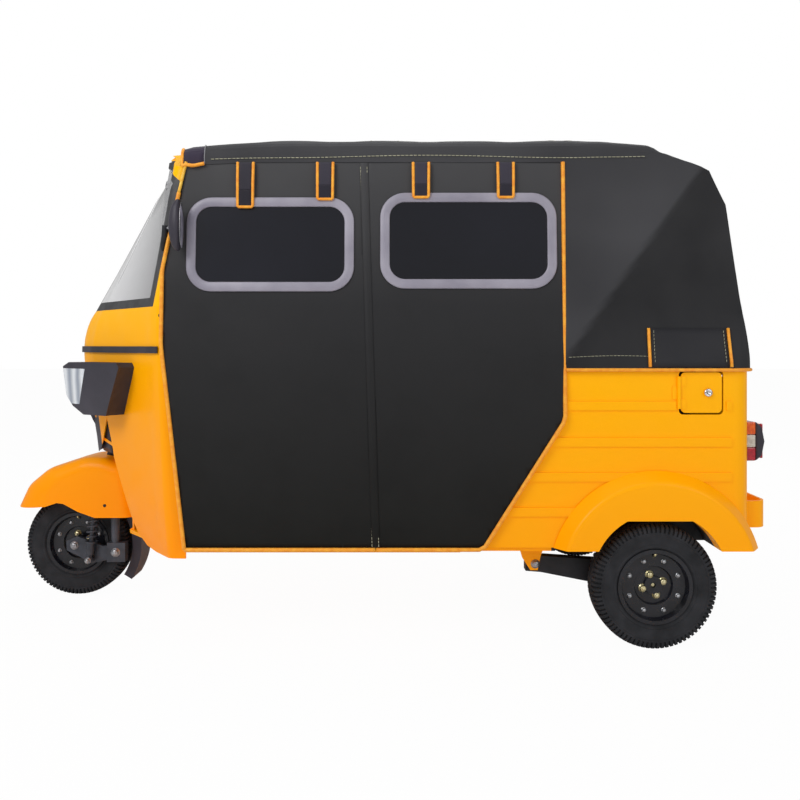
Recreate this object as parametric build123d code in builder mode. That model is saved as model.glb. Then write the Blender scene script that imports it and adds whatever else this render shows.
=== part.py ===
"""Auto rickshaw with a canvas hood and closed side curtains.

Millimetres. +Z is up, -X is forward and -Y is the vehicle's left side.
The origin lies on the ground below the middle of the vehicle.
"""
import os
from math import cos, radians, sin, tan

from build123d import *

os.makedirs("parts", exist_ok=True)

# ---------------------------------------------------------------- driving dimensions
wheelbase = 2040.0
rear_axle_x = 942.0
rear_track = 1146.0
tyre_radius = 198.0
tyre_width = 104.0
bead_radius = 112.0          # where the tyre sits on its rim
front_axle_x = rear_axle_x - wheelbase
LEFT_RIGHT = (("left", -1), ("right", 1))

seat_gap = 0.3               # between a piece and what it rests on
moving_gap = 6.0             # between pieces that move past each other

# body tub
body_half = 598.0            # outer face of the side panels, from the middle
panel_t = 10.0               # wall of a pressed panel
rib_proud = 5.0              # how far the pressed ribs stand out
rib_height = 28.0
floor_z = 305.0              # underside of the floor
floor_t = 14.0
body_rear_x = 1258.0
body_top_z = 900.0
body_corner_r = 60.0
body_low_z = 318.0
deck_z = 690.0               # top of the engine deck below the rear bench
bulkhead_x = 620.0           # front wall of the engine bay
side_front_low_x = 330.0     # forward edge of the side panel at the floor
side_front_top_x = 560.0     # and at its top
rib_levels = (431.0, 541.5, 652.0, 767.0)

# cloth
cloth_t = 6.0
cloth_half = body_half + rib_proud + seat_gap + cloth_t   # outer face of the curtains
belt_z = 900.0               # the cloth walls lean inwards above this height
eaves_z = 1545.0
eaves_half = cloth_half - 40.0
sill_hem_z = 314.0

# hood
hood_front_x = -612.0
hood_hem_z = 881.0
hood_quarter_x = 662.0       # forward edge of the quarter panels
crown_z = 1700.0
shoulder_z = 1609.0
shoulder_r = 60.0
hood_rear_x = body_rear_x + seat_gap + cloth_t
hood_corner_r = body_corner_r + seat_gap + cloth_t

# front cowl: level, nose, and the point where the front turns into the side
cowl_flat_half = 190.0
cowl_levels = (
    # z, nose x, side x, how far the side stands in from the tub's
    (250.0, -900.0, -590.0, 8.0),
    (590.0, -1024.0, -615.0, 18.0),
    (850.0, -1086.0, -628.0, 28.0),
    (1000.0, -1090.0, -636.0, 38.0),
    (1085.0, -1050.0, -640.0, 46.0),
)
cowl_rear_x = -542.0
cab_cut_x = -490.0           # the cowl's closed body runs back to here before it is cut
cowl_wall = 8.0
cowl_top_z = cowl_levels[-1][0]
screen_top = (1720.0, -690.0, -585.0, 68.0)
screen_low_z = 1115.0
screen_high_z = 1600.0
gasket_w = 30.0

# steering
rake = 20.0                  # degrees from upright
steer_ground_x = -1177.0     # where the steering axis meets the ground
column_r = 18.0
bar_z = 1010.0               # height of the handlebar on the axis
bar_half = 300.0
bar_sweep = 80.0
bar_r = 13.0


def axis_x(z):
    """X of the steering axis at height z."""
    return steer_ground_x + z * tan(radians(rake))


def cloth_y(z):
    """Distance of the cloth's outer face from the middle at height z."""
    lean = (cloth_half - eaves_half) / (eaves_z - belt_z)
    return cloth_half - max(0.0, z - belt_z) * lean


def side_layer(sign, inner, outer, z_low, z_high):
    """Section across one cloth wall, between two distances out from its outer face."""
    levels = [z_low, belt_z, z_high] if z_low < belt_z else [z_low, z_high]
    outside = [(sign * (cloth_y(z) + outer), z) for z in levels]
    inside = [(sign * (cloth_y(z) + inner), z) for z in reversed(levels)]
    with BuildSketch(Plane.YZ) as section:
        with BuildLine():
            Polyline(*outside, *inside, close=True)
        make_face()
    return section.sketch


def side_outline(points, radius=0.0):
    """Outline seen from the side, as (x, z) points with one corner radius."""
    with BuildSketch(Plane.XZ) as outline:
        with BuildLine():
            if radius > 0:
                FilletPolyline(*points, radius=radius, close=True)
            else:
                Polyline(*points, close=True)
        make_face()
    return outline.sketch


def side_rectangle(x, z, width, height, radius):
    """Rounded rectangle seen from the side, centred on (x, z)."""
    with BuildSketch(Plane.XZ) as outline:
        with Locations((x, z)):
            RectangleRounded(width, height, radius)
    return outline.sketch


def rounded_plan(x_low, x_high, half, radius, z=0.0):
    """Plan outline with rounded rear corners, at height z."""
    with BuildSketch(Plane.XY.offset(z)) as plan:
        with Locations(((x_low + x_high) / 2, 0)):
            Rectangle(x_high - x_low, 2 * half)
        fillet(plan.vertices().group_by(Axis.X)[-1], radius)
    return plan.sketch


def hood_arch(inset, foot_z):
    """Cross-section of the hood: leaning sides, rounded shoulders and a crowned roof."""
    top = shoulder_z - inset
    foot = cloth_half - inset
    knee = (eaves_half - inset) - (top - eaves_z) * (cloth_half - eaves_half) / (eaves_z - belt_z)
    with BuildSketch(Plane.YZ) as arch:
        with BuildLine():
            Polyline((-knee, top), (-eaves_half + inset, eaves_z), (-foot, belt_z), (-foot, foot_z),
                     (foot, foot_z), (foot, belt_z), (eaves_half - inset, eaves_z), (knee, top))
            ThreePointArc((knee, top), (0, crown_z - inset), (-knee, top))
        make_face()
        shoulders = [v for v in arch.vertices() if abs(v.Y - top) < 0.01]
        fillet(shoulders, shoulder_r - inset)
    return arch.sketch


def cowl_section(level, inset):
    """Plan of the front cowl at one level: a blunt nose with sides that run out to the cab."""
    z, nose_x, side_x, side_in = level
    side_half = body_half - side_in
    flat = cowl_flat_half
    with BuildSketch(Plane.XY.offset(z)) as section:
        with BuildLine():
            FilletPolyline(
                (cab_cut_x, -side_half - 4), (side_x, -side_half), (nose_x, -flat),
                (nose_x, flat), (side_x, side_half), (cab_cut_x, side_half + 4),
                radius=[40, 110, 110, 40],
            )
            Line((cab_cut_x, side_half + 4), (cab_cut_x, -side_half - 4))
        make_face()
        if inset != 0:
            offset(amount=-inset, mode=Mode.REPLACE)
    return section.sketch


def cowl_body(inset):
    """Closed body of the front cowl, moved in by inset."""
    with BuildPart() as body:
        loft([cowl_section(level, inset) for level in cowl_levels])
    return body.part


def screen_body(inset):
    """Closed body between the cowl's top and the roof, leaning back with the windscreen."""
    with BuildPart() as body:
        loft([cowl_section(cowl_levels[-1], inset), cowl_section(screen_top, inset)], ruled=True)
    return body.part


outer_cowl = cowl_body(0)
inner_cowl = cowl_body(cowl_wall)
cowl_clear = cowl_body(cowl_wall + seat_gap)
outer_screen = screen_body(0)
inner_screen = screen_body(cowl_wall)


# ---------------------------------------------------------------- front of the cab
# lower edge of the cowl, seen from the side: what lies in front of it is open for the wheel
wheel_cut = ((-1300, 200), (-1300, 563), (-1019, 563), (-977, 700), (-924, 562), (-855, 459),
             (-802, 377), (-760, 322), (-710, 289), (-662, 281), (-600, 281), (-600, 200))
nose_low_z = 563.0
cowl_low_z = 281.0

with BuildPart() as front_cowl:
    add(outer_cowl)
    add(inner_cowl, mode=Mode.SUBTRACT)
    extrude(side_outline(wheel_cut), amount=900, both=True, mode=Mode.SUBTRACT)
    with Locations(((cowl_rear_x + cab_cut_x) / 2 + 20, 0, cowl_top_z / 2)):
        Box(abs(cab_cut_x - cowl_rear_x) + 40, 1400, cowl_top_z + 2, mode=Mode.SUBTRACT)
    with Locations((cowl_rear_x, 0, cowl_low_z / 2)):
        Box(900, 1400, cowl_low_z, mode=Mode.SUBTRACT)
front_cowl.part.label = "front_cowl"
export_step(front_cowl.part, "parts/front_cowl.step")

# the windscreen leans back between a rubber gasket and the yellow pillars
glass_outline = ((-1300, screen_low_z), (-698, screen_low_z), (-598, 1500), (-640, screen_high_z),
                 (-1300, screen_high_z))
gasket_outline = ((-1300, cowl_top_z - 1), (-698 + gasket_w, cowl_top_z - 1),
                  (-598 + gasket_w, 1505), (-632, screen_high_z + gasket_w),
                  (-1300, screen_high_z + gasket_w))
header_low = 12.0            # depth of the header panel below the hood
screen_shell_trim = hood_arch(cloth_t + seat_gap, 200)
roof_front_slope = ((-1300, 1300), (-735, screen_high_z + gasket_w + 5), (-690, 1665),
                    (-560, crown_z + 5), (-400, crown_z + 5), (-400, 1000), (-1300, 1000))

with BuildPart() as screen_shell:
    add(outer_screen)
    add(inner_screen, mode=Mode.SUBTRACT)
    extrude(screen_shell_trim, amount=1500, both=True, mode=Mode.INTERSECT)
    extrude(side_outline(roof_front_slope), amount=900, both=True, mode=Mode.INTERSECT)
    with Locations(((cowl_rear_x + cab_cut_x) / 2 + 20, 0, 1400)):
        Box(abs(cab_cut_x - cowl_rear_x) + 40, 1400, 900, mode=Mode.SUBTRACT)

with BuildPart() as windscreen:
    add(screen_shell.part)
    extrude(side_outline(glass_outline), amount=900, both=True, mode=Mode.INTERSECT)
windscreen.part.label = "windscreen"
export_step(windscreen.part, "parts/windscreen.step")

with BuildPart() as windscreen_gasket:
    add(screen_shell.part)
    extrude(side_outline(gasket_outline), amount=900, both=True, mode=Mode.INTERSECT)
    extrude(side_outline(glass_outline), amount=900, both=True, mode=Mode.SUBTRACT)
windscreen_gasket.part.label = "windscreen_gasket"
export_step(windscreen_gasket.part, "parts/windscreen_gasket.step")

with BuildPart() as windscreen_pillars:
    add(screen_shell.part)
    extrude(side_outline(gasket_outline), amount=900, both=True, mode=Mode.SUBTRACT)

with BuildPart() as header_panel:
    extrude(screen_shell_trim, amount=1500, both=True)
    extrude(side_outline(roof_front_slope), amount=900, both=True, mode=Mode.INTERSECT)
    with BuildPart(mode=Mode.PRIVATE) as header_hollow:
        extrude(hood_arch(cloth_t + seat_gap + header_low, 200), amount=1500, both=True)
        extrude(Pos(0, 0, -header_low) * side_outline(roof_front_slope), amount=900, both=True,
                mode=Mode.INTERSECT)
    add(header_hollow.part, mode=Mode.SUBTRACT)
    with Locations((-500, 0, 1850 - 5)):
        Box(2000, 1400, 500, mode=Mode.INTERSECT)
    add(screen_body(cowl_wall / 2), mode=Mode.INTERSECT)

with BuildPart() as screen_frame:
    add(windscreen_pillars.part)
    add(header_panel.part)
    extrude(side_outline(gasket_outline), amount=900, both=True, mode=Mode.SUBTRACT)
screen_frame.part.label = "screen_frame"
export_step(screen_frame.part, "parts/screen_frame.step")

# black moulding across the cowl
moulding_z = 944.0
moulding_h = 22.0
with BuildPart() as cowl_moulding:
    add(cowl_body(-8))
    add(cowl_body(-seat_gap), mode=Mode.SUBTRACT)
    with Locations((-900, 0, moulding_z)):
        Box(520, 1400, moulding_h, mode=Mode.INTERSECT)
cowl_moulding.part.label = "cowl_moulding"
export_step(cowl_moulding.part, "parts/cowl_moulding.step")

# black mask over the nose with a lamp housing on each side of it
mask_outline = ((-1300, 882), (-1020, 882), (-1010, 700), (-966, nose_low_z - 8), (-1300, nose_low_z - 8))
mask_half = 150.0
lamp_outline = ((-1300, 892), (-790, 884), (-838, 726), (-930, 705), (-1010, 716), (-1080, 760),
                (-1110, 892))
with BuildPart() as nose_mask:
    add(cowl_body(-14))
    add(cowl_body(-seat_gap), mode=Mode.SUBTRACT)
    extrude(side_outline(mask_outline), amount=mask_half, both=True, mode=Mode.INTERSECT)
nose_mask.part.label = "nose_mask"
export_step(nose_mask.part, "parts/nose_mask.step")

# driver and passenger floor with sills
floor_top_z = floor_z + floor_t
sill_h = 49.0
arm_y = 478.0                # middle of the trailing arms
arm_t = 40.0
well_rear_x = -800.0
well_top_z = 562.0
with BuildPart() as floor_pan:
    with Locations(((cowl_rear_x + bulkhead_x) / 2, 0, floor_z + floor_t / 2)):
        Box(bulkhead_x - cowl_rear_x, 2 * (body_half - panel_t - seat_gap), floor_t)
    with BuildPart(mode=Mode.PRIVATE) as toe_floor:
        add(cowl_clear)
        with Locations(((cowl_rear_x + well_rear_x) / 2, 0, floor_z + floor_t / 2)):
            Box(cowl_rear_x - well_rear_x, 1400, floor_t, mode=Mode.INTERSECT)
    add(toe_floor.part)
    for name, sign in LEFT_RIGHT:
        sill_length = side_front_low_x - cowl_rear_x - 2 * seat_gap
        with Locations((cowl_rear_x + seat_gap + sill_length / 2, sign * (body_half - panel_t / 2),
                        floor_z - 2 + sill_h / 2)):
            Box(sill_length, panel_t + 2, sill_h)
        with BuildSketch(Plane.XZ.offset(-sign * (arm_y + arm_t / 2 + seat_gap + 5))):
            with BuildLine():
                Polyline((527, floor_z + 2), (615, floor_z + 2), (600, 270), (590, 222),
                         (566, 222), (540, 262), close=True)
            make_face()
        extrude(amount=5, both=True)
floor_pan.part.label = "floor_pan"
export_step(floor_pan.part, "parts/floor_pan.step")

# the wheel well closes the cab off from the front wheel and carries the steering head
head_low_z = 570.0
head_high_z = 740.0
head_r = 28.0
column_hole_r = column_r + moving_gap


def along_axis(low_z, high_z, radius):
    """Round bar on the steering axis between two heights."""
    foot = Plane(origin=(axis_x(low_z), 0, low_z), z_dir=(tan(radians(rake)), 0, 1))
    with BuildPart() as bar:
        with BuildSketch(foot):
            Circle(radius)
        extrude(amount=(high_z - low_z) / cos(radians(rake)))
    return bar.part


well_path = ((well_rear_x, floor_top_z), (well_rear_x, well_top_z), (-1006, 612),
             (-1006, 612 + panel_t), (well_rear_x + panel_t, well_top_z + panel_t),
             (well_rear_x + panel_t, floor_top_z))
with BuildPart() as wheel_well:
    extrude(side_outline(well_path), amount=700, both=True)
    add(cowl_clear, mode=Mode.INTERSECT)
    with BuildSketch(Plane((axis_x(500), 0, 500), x_dir=(0, 1, 0), z_dir=(tan(radians(rake)), 0, 1))):
        Circle(column_hole_r)
    extrude(amount=400, mode=Mode.SUBTRACT)
    add(along_axis(head_low_z, head_high_z, head_r))
    add(along_axis(head_low_z - 1, head_high_z + 1, column_r + seat_gap), mode=Mode.SUBTRACT)
wheel_well.part.label = "wheel_well"
export_step(wheel_well.part, "parts/wheel_well.step")

# instrument panel behind the nose
with BuildPart() as instrument_panel:
    add(cowl_clear)
    with Locations((-1050, 0, 1030)):
        Box(200, 320, 90, mode=Mode.INTERSECT)
instrument_panel.part.label = "instrument_panel"
export_step(instrument_panel.part, "parts/instrument_panel.step")

# ---------------------------------------------------------------- rear body
arch_x = 948.0
arch_z = 226.0
arch_r = 212.0
arch_flat_z = 412.0
fender_r = 336.0
fender_proud = 46.7          # how far a rear fender stands out from the ribs
fender_slope = 32.0          # how much its outer face is smaller than its root
fender_lip = 16.0            # rounding of its outer edge
panel_clear_x = hood_rear_x + 50


def arch_opening(radius, flat_z):
    """Wheel opening seen from the side: a round arch with a flat top and flared feet."""
    with BuildSketch(Plane.XZ) as opening:
        with Locations((arch_x, arch_z)):
            Circle(radius)
        with Locations((arch_x, arch_z - radius)):
            Rectangle(2 * radius, 2 * radius)
        with Locations((arch_x, flat_z + radius)):
            Rectangle(3 * radius, 2 * radius, mode=Mode.SUBTRACT)
    return opening.sketch


flap_x = 1092.5
flap_z = 809.0
flap_w = 129.0
flap_h = 128.0
flap_corner = 14.0
tub_outer = rounded_plan(side_front_low_x - 200, body_rear_x, body_half, body_corner_r)
tub_inner = rounded_plan(side_front_low_x - 300, body_rear_x - panel_t, body_half - panel_t,
                         body_corner_r - panel_t)
corner_half = 530.0          # the side panels wrap round the corner to here
# hinged flap in the left side panel, with a leaf hinge on its forward edge
hinge_pin_r = 3.0
hinge_barrel_r = 6.0
barrel_gap = 1.0
flap_hinge_x = flap_x - flap_w / 2 - hinge_barrel_r - barrel_gap
flap_hinge_y = -(body_half + hinge_barrel_r)
flap_barrel_h = 30.0
flap_barrel_z = 36.0         # of each barrel above and below the flap's middle
flap_leaf_t = 3.0
with BuildPart() as access_flap:
    with BuildSketch(Plane.XZ.offset(body_half - 1)):
        with Locations((flap_x, flap_z)):
            RectangleRounded(flap_w, flap_h, flap_corner)
    extrude(amount=4)
    with Locations((flap_hinge_x + 13, -(body_half + 4.5), flap_z - flap_barrel_z),
                   (flap_hinge_x + 13, -(body_half + 4.5), flap_z + flap_barrel_z)):
        Box(18, flap_leaf_t, flap_barrel_h)
    with Locations((flap_hinge_x, flap_hinge_y, flap_z - flap_barrel_z),
                   (flap_hinge_x, flap_hinge_y, flap_z + flap_barrel_z)):
        Cylinder(hinge_barrel_r, flap_barrel_h)
        Cylinder(hinge_pin_r + barrel_gap, flap_barrel_h, mode=Mode.SUBTRACT)
    with Locations((flap_x + 20, -(body_half + 3 + 3), flap_z)):
        Cylinder(11, 6, rotation=(90, 0, 0))
access_flap.part.label = "access_flap"
export_step(access_flap.part, "parts/access_flap.step")

with BuildPart() as flap_hinge:
    with Locations((flap_hinge_x, flap_hinge_y, flap_z)):
        Cylinder(hinge_barrel_r, 2 * (flap_barrel_z - flap_barrel_h / 2) - 2 * seat_gap)
        Cylinder(hinge_pin_r, 2 * flap_barrel_z + flap_barrel_h)
    with Locations((flap_hinge_x - 10, -(body_half - 1 + flap_leaf_t / 2), flap_z)):
        Box(20, flap_leaf_t + 2, 2 * (flap_barrel_z - flap_barrel_h / 2) - 2 * seat_gap)

panel_edge = ((side_front_low_x, 300), (side_front_low_x, 330), (side_front_top_x, 760),
              (side_front_top_x, body_top_z + 5), (panel_clear_x, body_top_z + 5), (panel_clear_x, 300))

for name, sign in LEFT_RIGHT:
    with BuildPart() as side_panel:
        extrude(Plane.XY.offset(body_low_z) * tub_outer, amount=body_top_z - body_low_z)
        extrude(Plane.XY.offset(body_low_z - 1) * tub_inner, amount=body_top_z - body_low_z + 2,
                mode=Mode.SUBTRACT)
        with Locations((arch_x, sign * (corner_half + 100), 600)):
            Box(2000, 200, 700, mode=Mode.INTERSECT)
        for level in rib_levels:
            rib_length = body_rear_x - body_corner_r - side_front_low_x - 20
            with Locations((side_front_low_x + rib_length / 2 + 10,
                            sign * (body_half + rib_proud / 2 - 1), level)):
                Box(rib_length, rib_proud + 2, rib_height)
        extrude(side_outline(panel_edge), amount=900, both=True, mode=Mode.INTERSECT)
        extrude(arch_opening(arch_r, arch_flat_z), amount=900, both=True, mode=Mode.SUBTRACT)
        if sign < 0:
            with Locations((flap_x, sign * body_half, flap_z)):
                Box(flap_w + 30, 60, flap_h + 30, mode=Mode.SUBTRACT)
            with Locations((flap_x, sign * (body_half - panel_t / 2), flap_z)):
                Box(flap_w + 30, panel_t, flap_h + 30)
            extrude(side_rectangle(flap_x, flap_z, flap_w + 2 * moving_gap,
                                   flap_h + 2 * moving_gap, flap_corner), amount=700,
                    mode=Mode.SUBTRACT)
            add(flap_hinge.part)
    side_panel.part.label = f"side_panel_{name}"
    export_step(side_panel.part, f"parts/side_panel_{name}.step")

# rear fenders stand out from the side panels over the wheels
fender_low_z = 318.0
fender_root = body_half + rib_proud + seat_gap
fender_half = fender_root + fender_proud
with BuildPart() as rear_fenders:
    for name, sign in LEFT_RIGHT:
        with Locations((arch_x, sign * (fender_root + fender_half) / 2, arch_z)):
            Cone(fender_r, fender_r - fender_slope, fender_proud, rotation=(-90 * sign, 0, 0))
    fillet(rear_fenders.edges().filter_by(lambda e: abs(abs(e.center().Y) - fender_half) < 1), fender_lip)
    with Locations((arch_x, 0, fender_low_z - 400)):
        Box(3 * fender_r, 1500, 800, mode=Mode.SUBTRACT)
    extrude(arch_opening(arch_r, arch_flat_z), amount=900, both=True, mode=Mode.SUBTRACT)
rear_fenders.part.label = "rear_fenders"
export_step(rear_fenders.part, "parts/rear_fenders.step")

# inner arches between the wheels and the engine bay
arch_inner_half = rear_track / 2 - tyre_width / 2 - 24
with BuildPart() as inner_arches:
    for name, sign in LEFT_RIGHT:
        arch_deep = body_half - panel_t - seat_gap - arch_inner_half
        arch_mid = sign * (arch_inner_half + arch_deep / 2)
        with BuildSketch(Plane.XZ.offset(-arch_mid)):
            add(arch_opening(arch_r + 4, arch_flat_z + 4))
            add(arch_opening(arch_r, arch_flat_z), mode=Mode.SUBTRACT)
        extrude(amount=arch_deep / 2, both=True)
        with BuildSketch(Plane.XZ.offset(-sign * arch_inner_half)):
            add(arch_opening(arch_r + 4, arch_flat_z + 4))
        extrude(amount=2, both=True)
    with Locations((arch_x, 0, body_low_z - 500)):
        Box(1000, 1400, 1000, mode=Mode.SUBTRACT)
inner_arches.part.label = "inner_arches"
export_step(inner_arches.part, "parts/inner_arches.step")

# rear panel with the engine lid
rear_panel_x = body_rear_x - panel_t / 2
lid_half = 400.0
lid_low_z = 470.0
lid_high_z = 850.0
lid_hinge_x = body_rear_x + hinge_barrel_r + 1
lid_hinge_z = lid_high_z + 2
lid_barrel_y = 260.0
lid_barrel_w = 60.0
louvre_rows = 5
louvre_w = 210.0
louvre_h = 12.0
louvre_pitch = 30.0
louvre_deep = 9.0
louvre_z = 620.0
with BuildPart() as rear_panel:
    with Locations((rear_panel_x, 0, (body_low_z + body_top_z) / 2)):
        Box(panel_t, 2 * corner_half, body_top_z - body_low_z)
    with Locations((rear_panel_x, 0, (lid_low_z + lid_high_z) / 2)):
        Box(3 * panel_t, 2 * (lid_half + moving_gap), lid_high_z - lid_low_z + 2 * moving_gap,
            mode=Mode.SUBTRACT)
    for middle in (-lid_barrel_y, lid_barrel_y):
        with Locations((lid_hinge_x, middle, lid_hinge_z)):
            Cylinder(hinge_pin_r, lid_barrel_w + 2 * 12, rotation=(90, 0, 0))
        for side in (-1, 1):
            lug_y = middle + side * (lid_barrel_w / 2 + 7)
            with Locations((lid_hinge_x, lug_y, lid_hinge_z)):
                Cylinder(hinge_barrel_r, 10, rotation=(90, 0, 0))
            with Locations((body_rear_x + 2, lug_y, lid_hinge_z + 14)):
                Box(8, 10, 28)
rear_panel.part.label = "rear_panel"
export_step(rear_panel.part, "parts/rear_panel.step")

with BuildPart() as engine_lid:
    with BuildSketch(Plane.YZ.offset(body_rear_x - panel_t)):
        with Locations((0, (lid_low_z + lid_high_z) / 2)):
            RectangleRounded(2 * lid_half, lid_high_z - lid_low_z, 20)
    extrude(amount=panel_t)
    with BuildSketch(Plane.YZ.offset(body_rear_x - panel_t - 1)):
        with Locations((0, louvre_z)):
            with GridLocations(louvre_w + 60, louvre_pitch, 2, louvre_rows):
                SlotOverall(louvre_w, louvre_h)
    extrude(amount=panel_t + 2, mode=Mode.SUBTRACT)
    with BuildSketch(Plane.XZ) as louvre_hood:
        with BuildLine():
            Polyline((body_rear_x - 3, louvre_h / 2 + 5), (body_rear_x, louvre_h / 2 + 5),
                     (body_rear_x + louvre_deep, -2), (body_rear_x + louvre_deep - 2, -4),
                     (body_rear_x - 3, louvre_h / 2 + 1), close=True)
        make_face()
    for row in range(louvre_rows):
        hood_z = louvre_z + (row - (louvre_rows - 1) / 2) * louvre_pitch
        for name, sign in LEFT_RIGHT:
            hood_y = sign * (louvre_w + 60) / 2
            extrude(Pos(0, hood_y, hood_z) * louvre_hood.sketch, amount=louvre_w / 2 - 4, both=True)
    with Locations((body_rear_x + 2, -lid_barrel_y, lid_high_z - 10),
                   (body_rear_x + 2, lid_barrel_y, lid_high_z - 10)):
        Box(4, lid_barrel_w, 20)
    with Locations((lid_hinge_x, -lid_barrel_y, lid_hinge_z), (lid_hinge_x, lid_barrel_y, lid_hinge_z)):
        Cylinder(hinge_barrel_r, lid_barrel_w, rotation=(90, 0, 0))
        Cylinder(hinge_pin_r + barrel_gap, lid_barrel_w, rotation=(90, 0, 0), mode=Mode.SUBTRACT)
engine_lid.part.label = "engine_lid"
export_step(engine_lid.part, "parts/engine_lid.step")

with BuildPart() as tail_lamps:
    for name, sign in LEFT_RIGHT:
        with Locations((body_rear_x + seat_gap + 30, sign * 500, 648)):
            Box(60, 90, 128)
    fillet(tail_lamps.edges().filter_by(Axis.Z).group_by(Axis.X)[-1], 24)
tail_lamps.part.label = "tail_lamps"
export_step(tail_lamps.part, "parts/tail_lamps.step")

bumper_z = 412.0
bumper_h = 86.0
bumper_half = 540.0
bumper_rear_x = 1329.0
bumper_t = 8.0
bumper_corner_r = 40.0
plate_hole_spacing = 150.0   # two holes that take a number plate
plate_hole_r = 3.5
with BuildPart() as rear_bumper:
    extrude(rounded_plan(body_rear_x + seat_gap, bumper_rear_x, bumper_half, bumper_corner_r,
                         bumper_z), amount=bumper_h / 2, both=True)
    extrude(rounded_plan(body_rear_x - 50, bumper_rear_x - bumper_t, bumper_half - bumper_t,
                         bumper_corner_r - bumper_t, bumper_z), amount=bumper_h / 2, both=True,
            mode=Mode.SUBTRACT)
    with BuildSketch(Plane.YZ.offset(bumper_rear_x - 2 * bumper_t)):
        with Locations((0, bumper_z)):
            with GridLocations(plate_hole_spacing, 1, 2, 1):
                Circle(plate_hole_r)
    extrude(amount=3 * bumper_t, mode=Mode.SUBTRACT)
rear_bumper.part.label = "rear_bumper"
export_step(rear_bumper.part, "parts/rear_bumper.step")

# deck over the engine with its bulkhead
with BuildPart() as engine_deck:
    with Locations(((bulkhead_x + body_rear_x - panel_t) / 2 + 2, 0, deck_z - 6)):
        Box(body_rear_x - panel_t - bulkhead_x - 4 - 2 * seat_gap, 2 * (body_half - panel_t - seat_gap), 12)
    with Locations((bulkhead_x + 6 + seat_gap, 0, (floor_z + deck_z) / 2)):
        Box(12, 2 * (body_half - panel_t - seat_gap), deck_z - floor_z)
    with Locations((body_rear_x, -body_half, 700), (body_rear_x, body_half, 700)):
        Box(130, 130, 200, mode=Mode.SUBTRACT)
engine_deck.part.label = "engine_deck"
export_step(engine_deck.part, "parts/engine_deck.step")

# ---------------------------------------------------------------- hood and curtains
hood_side = ((hood_front_x - 25, 1500), (hood_front_x - 25, 1660), (hood_front_x + 10, 1706), (900, 1706),
             (1007, 1655), (1100, 1600), (1168, 1512), (1200, 1400), (hood_rear_x, body_top_z + 4),
             (hood_rear_x, hood_hem_z), (hood_front_x - 25, hood_hem_z))
hood_inside = ((-900, 1500), (-900, 1706), (900, 1706), (1003, 1648), (1096, 1592), (1162, 1508),
               (1193, 1400), (hood_rear_x - cloth_t, body_top_z + 4), (hood_rear_x - cloth_t, 700),
               (-900, 700))
rear_window_z = 1210.0
with BuildPart() as hood_canvas:
    extrude(hood_arch(0, hood_hem_z), amount=1500, both=True)
    extrude(side_outline(hood_side), amount=900, both=True, mode=Mode.INTERSECT)
    extrude(rounded_plan(-900, hood_rear_x, cloth_half + 1, hood_corner_r), amount=2000,
            mode=Mode.INTERSECT)
    with BuildPart(mode=Mode.PRIVATE) as hood_hollow:
        extrude(hood_arch(cloth_t, 600), amount=1500, both=True)
        extrude(side_outline(hood_inside), amount=900, both=True, mode=Mode.INTERSECT)
        extrude(rounded_plan(-950, hood_rear_x - cloth_t, cloth_half + 1 - cloth_t,
                             hood_corner_r - cloth_t), amount=2000, mode=Mode.INTERSECT)
    add(hood_hollow.part, mode=Mode.SUBTRACT)
    with Locations(((hood_quarter_x - 1000) / 2, 0, eaves_z / 2)):
        Box(hood_quarter_x + 1000, 1400, eaves_z, mode=Mode.SUBTRACT)
    with BuildSketch(Plane.YZ.offset(1000)):
        with Locations((0, rear_window_z)):
            RectangleRounded(560, 220, 50)
    extrude(amount=600, mode=Mode.SUBTRACT)
hood_canvas.part.label = "hood_canvas"
export_step(hood_canvas.part, "parts/hood_canvas.step")

seam_top_x = 24.0
seam_low_x = 63.0
seam_half_gap = 1.5
front_curtain_edge = ((-541, sill_hem_z), (seam_low_x - seam_half_gap, sill_hem_z),
                      (seam_top_x - seam_half_gap, eaves_z), (-545, eaves_z), (-616, 1200), (-616, 960))
rear_curtain_edge = ((seam_low_x + seam_half_gap, sill_hem_z), (401, sill_hem_z),
                     (hood_quarter_x - 2, 723), (hood_quarter_x - 2, eaves_z),
                     (seam_top_x + seam_half_gap, eaves_z))
# x, z, width, height of each curtain window's frame
window_frames = ((-274.0, 1280.0, 534.0, 302.0), (357.0, 1292.0, 563.0, 308.0))
frame_w = 31.0
window_corner = 80.0
frame_t = 4.0
for place, edge, window in (("front", front_curtain_edge, window_frames[0]),
                            ("rear", rear_curtain_edge, window_frames[1])):
    with BuildPart() as curtains:
        for name, sign in LEFT_RIGHT:
            extrude(side_layer(sign, -cloth_t, 0, sill_hem_z, eaves_z), amount=1000, both=True)
        extrude(side_outline(edge), amount=900, both=True, mode=Mode.INTERSECT)
        extrude(side_rectangle(window[0], window[1], window[2] - 2 * frame_w,
                               window[3] - 2 * frame_w, window_corner - frame_w),
                amount=900, both=True, mode=Mode.SUBTRACT)
    curtains.part.label = f"{place}_curtains"
    export_step(curtains.part, f"parts/{place}_curtains.step")

with BuildPart() as window_rings:
    for name, sign in LEFT_RIGHT:
        for x, z, width, height in window_frames:
            with BuildPart(mode=Mode.PRIVATE) as ring:
                extrude(side_layer(sign, seat_gap, seat_gap + frame_t, 1000, eaves_z), amount=1000,
                        both=True)
                extrude(side_rectangle(x, z, width, height, window_corner), amount=900, both=True,
                        mode=Mode.INTERSECT)
                extrude(side_rectangle(x, z, width - 2 * frame_w, height - 2 * frame_w,
                                       window_corner - frame_w), amount=900, both=True,
                        mode=Mode.SUBTRACT)
            add(ring.part)
window_rings.part.label = "window_rings"
export_step(window_rings.part, "parts/window_rings.step")

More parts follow.
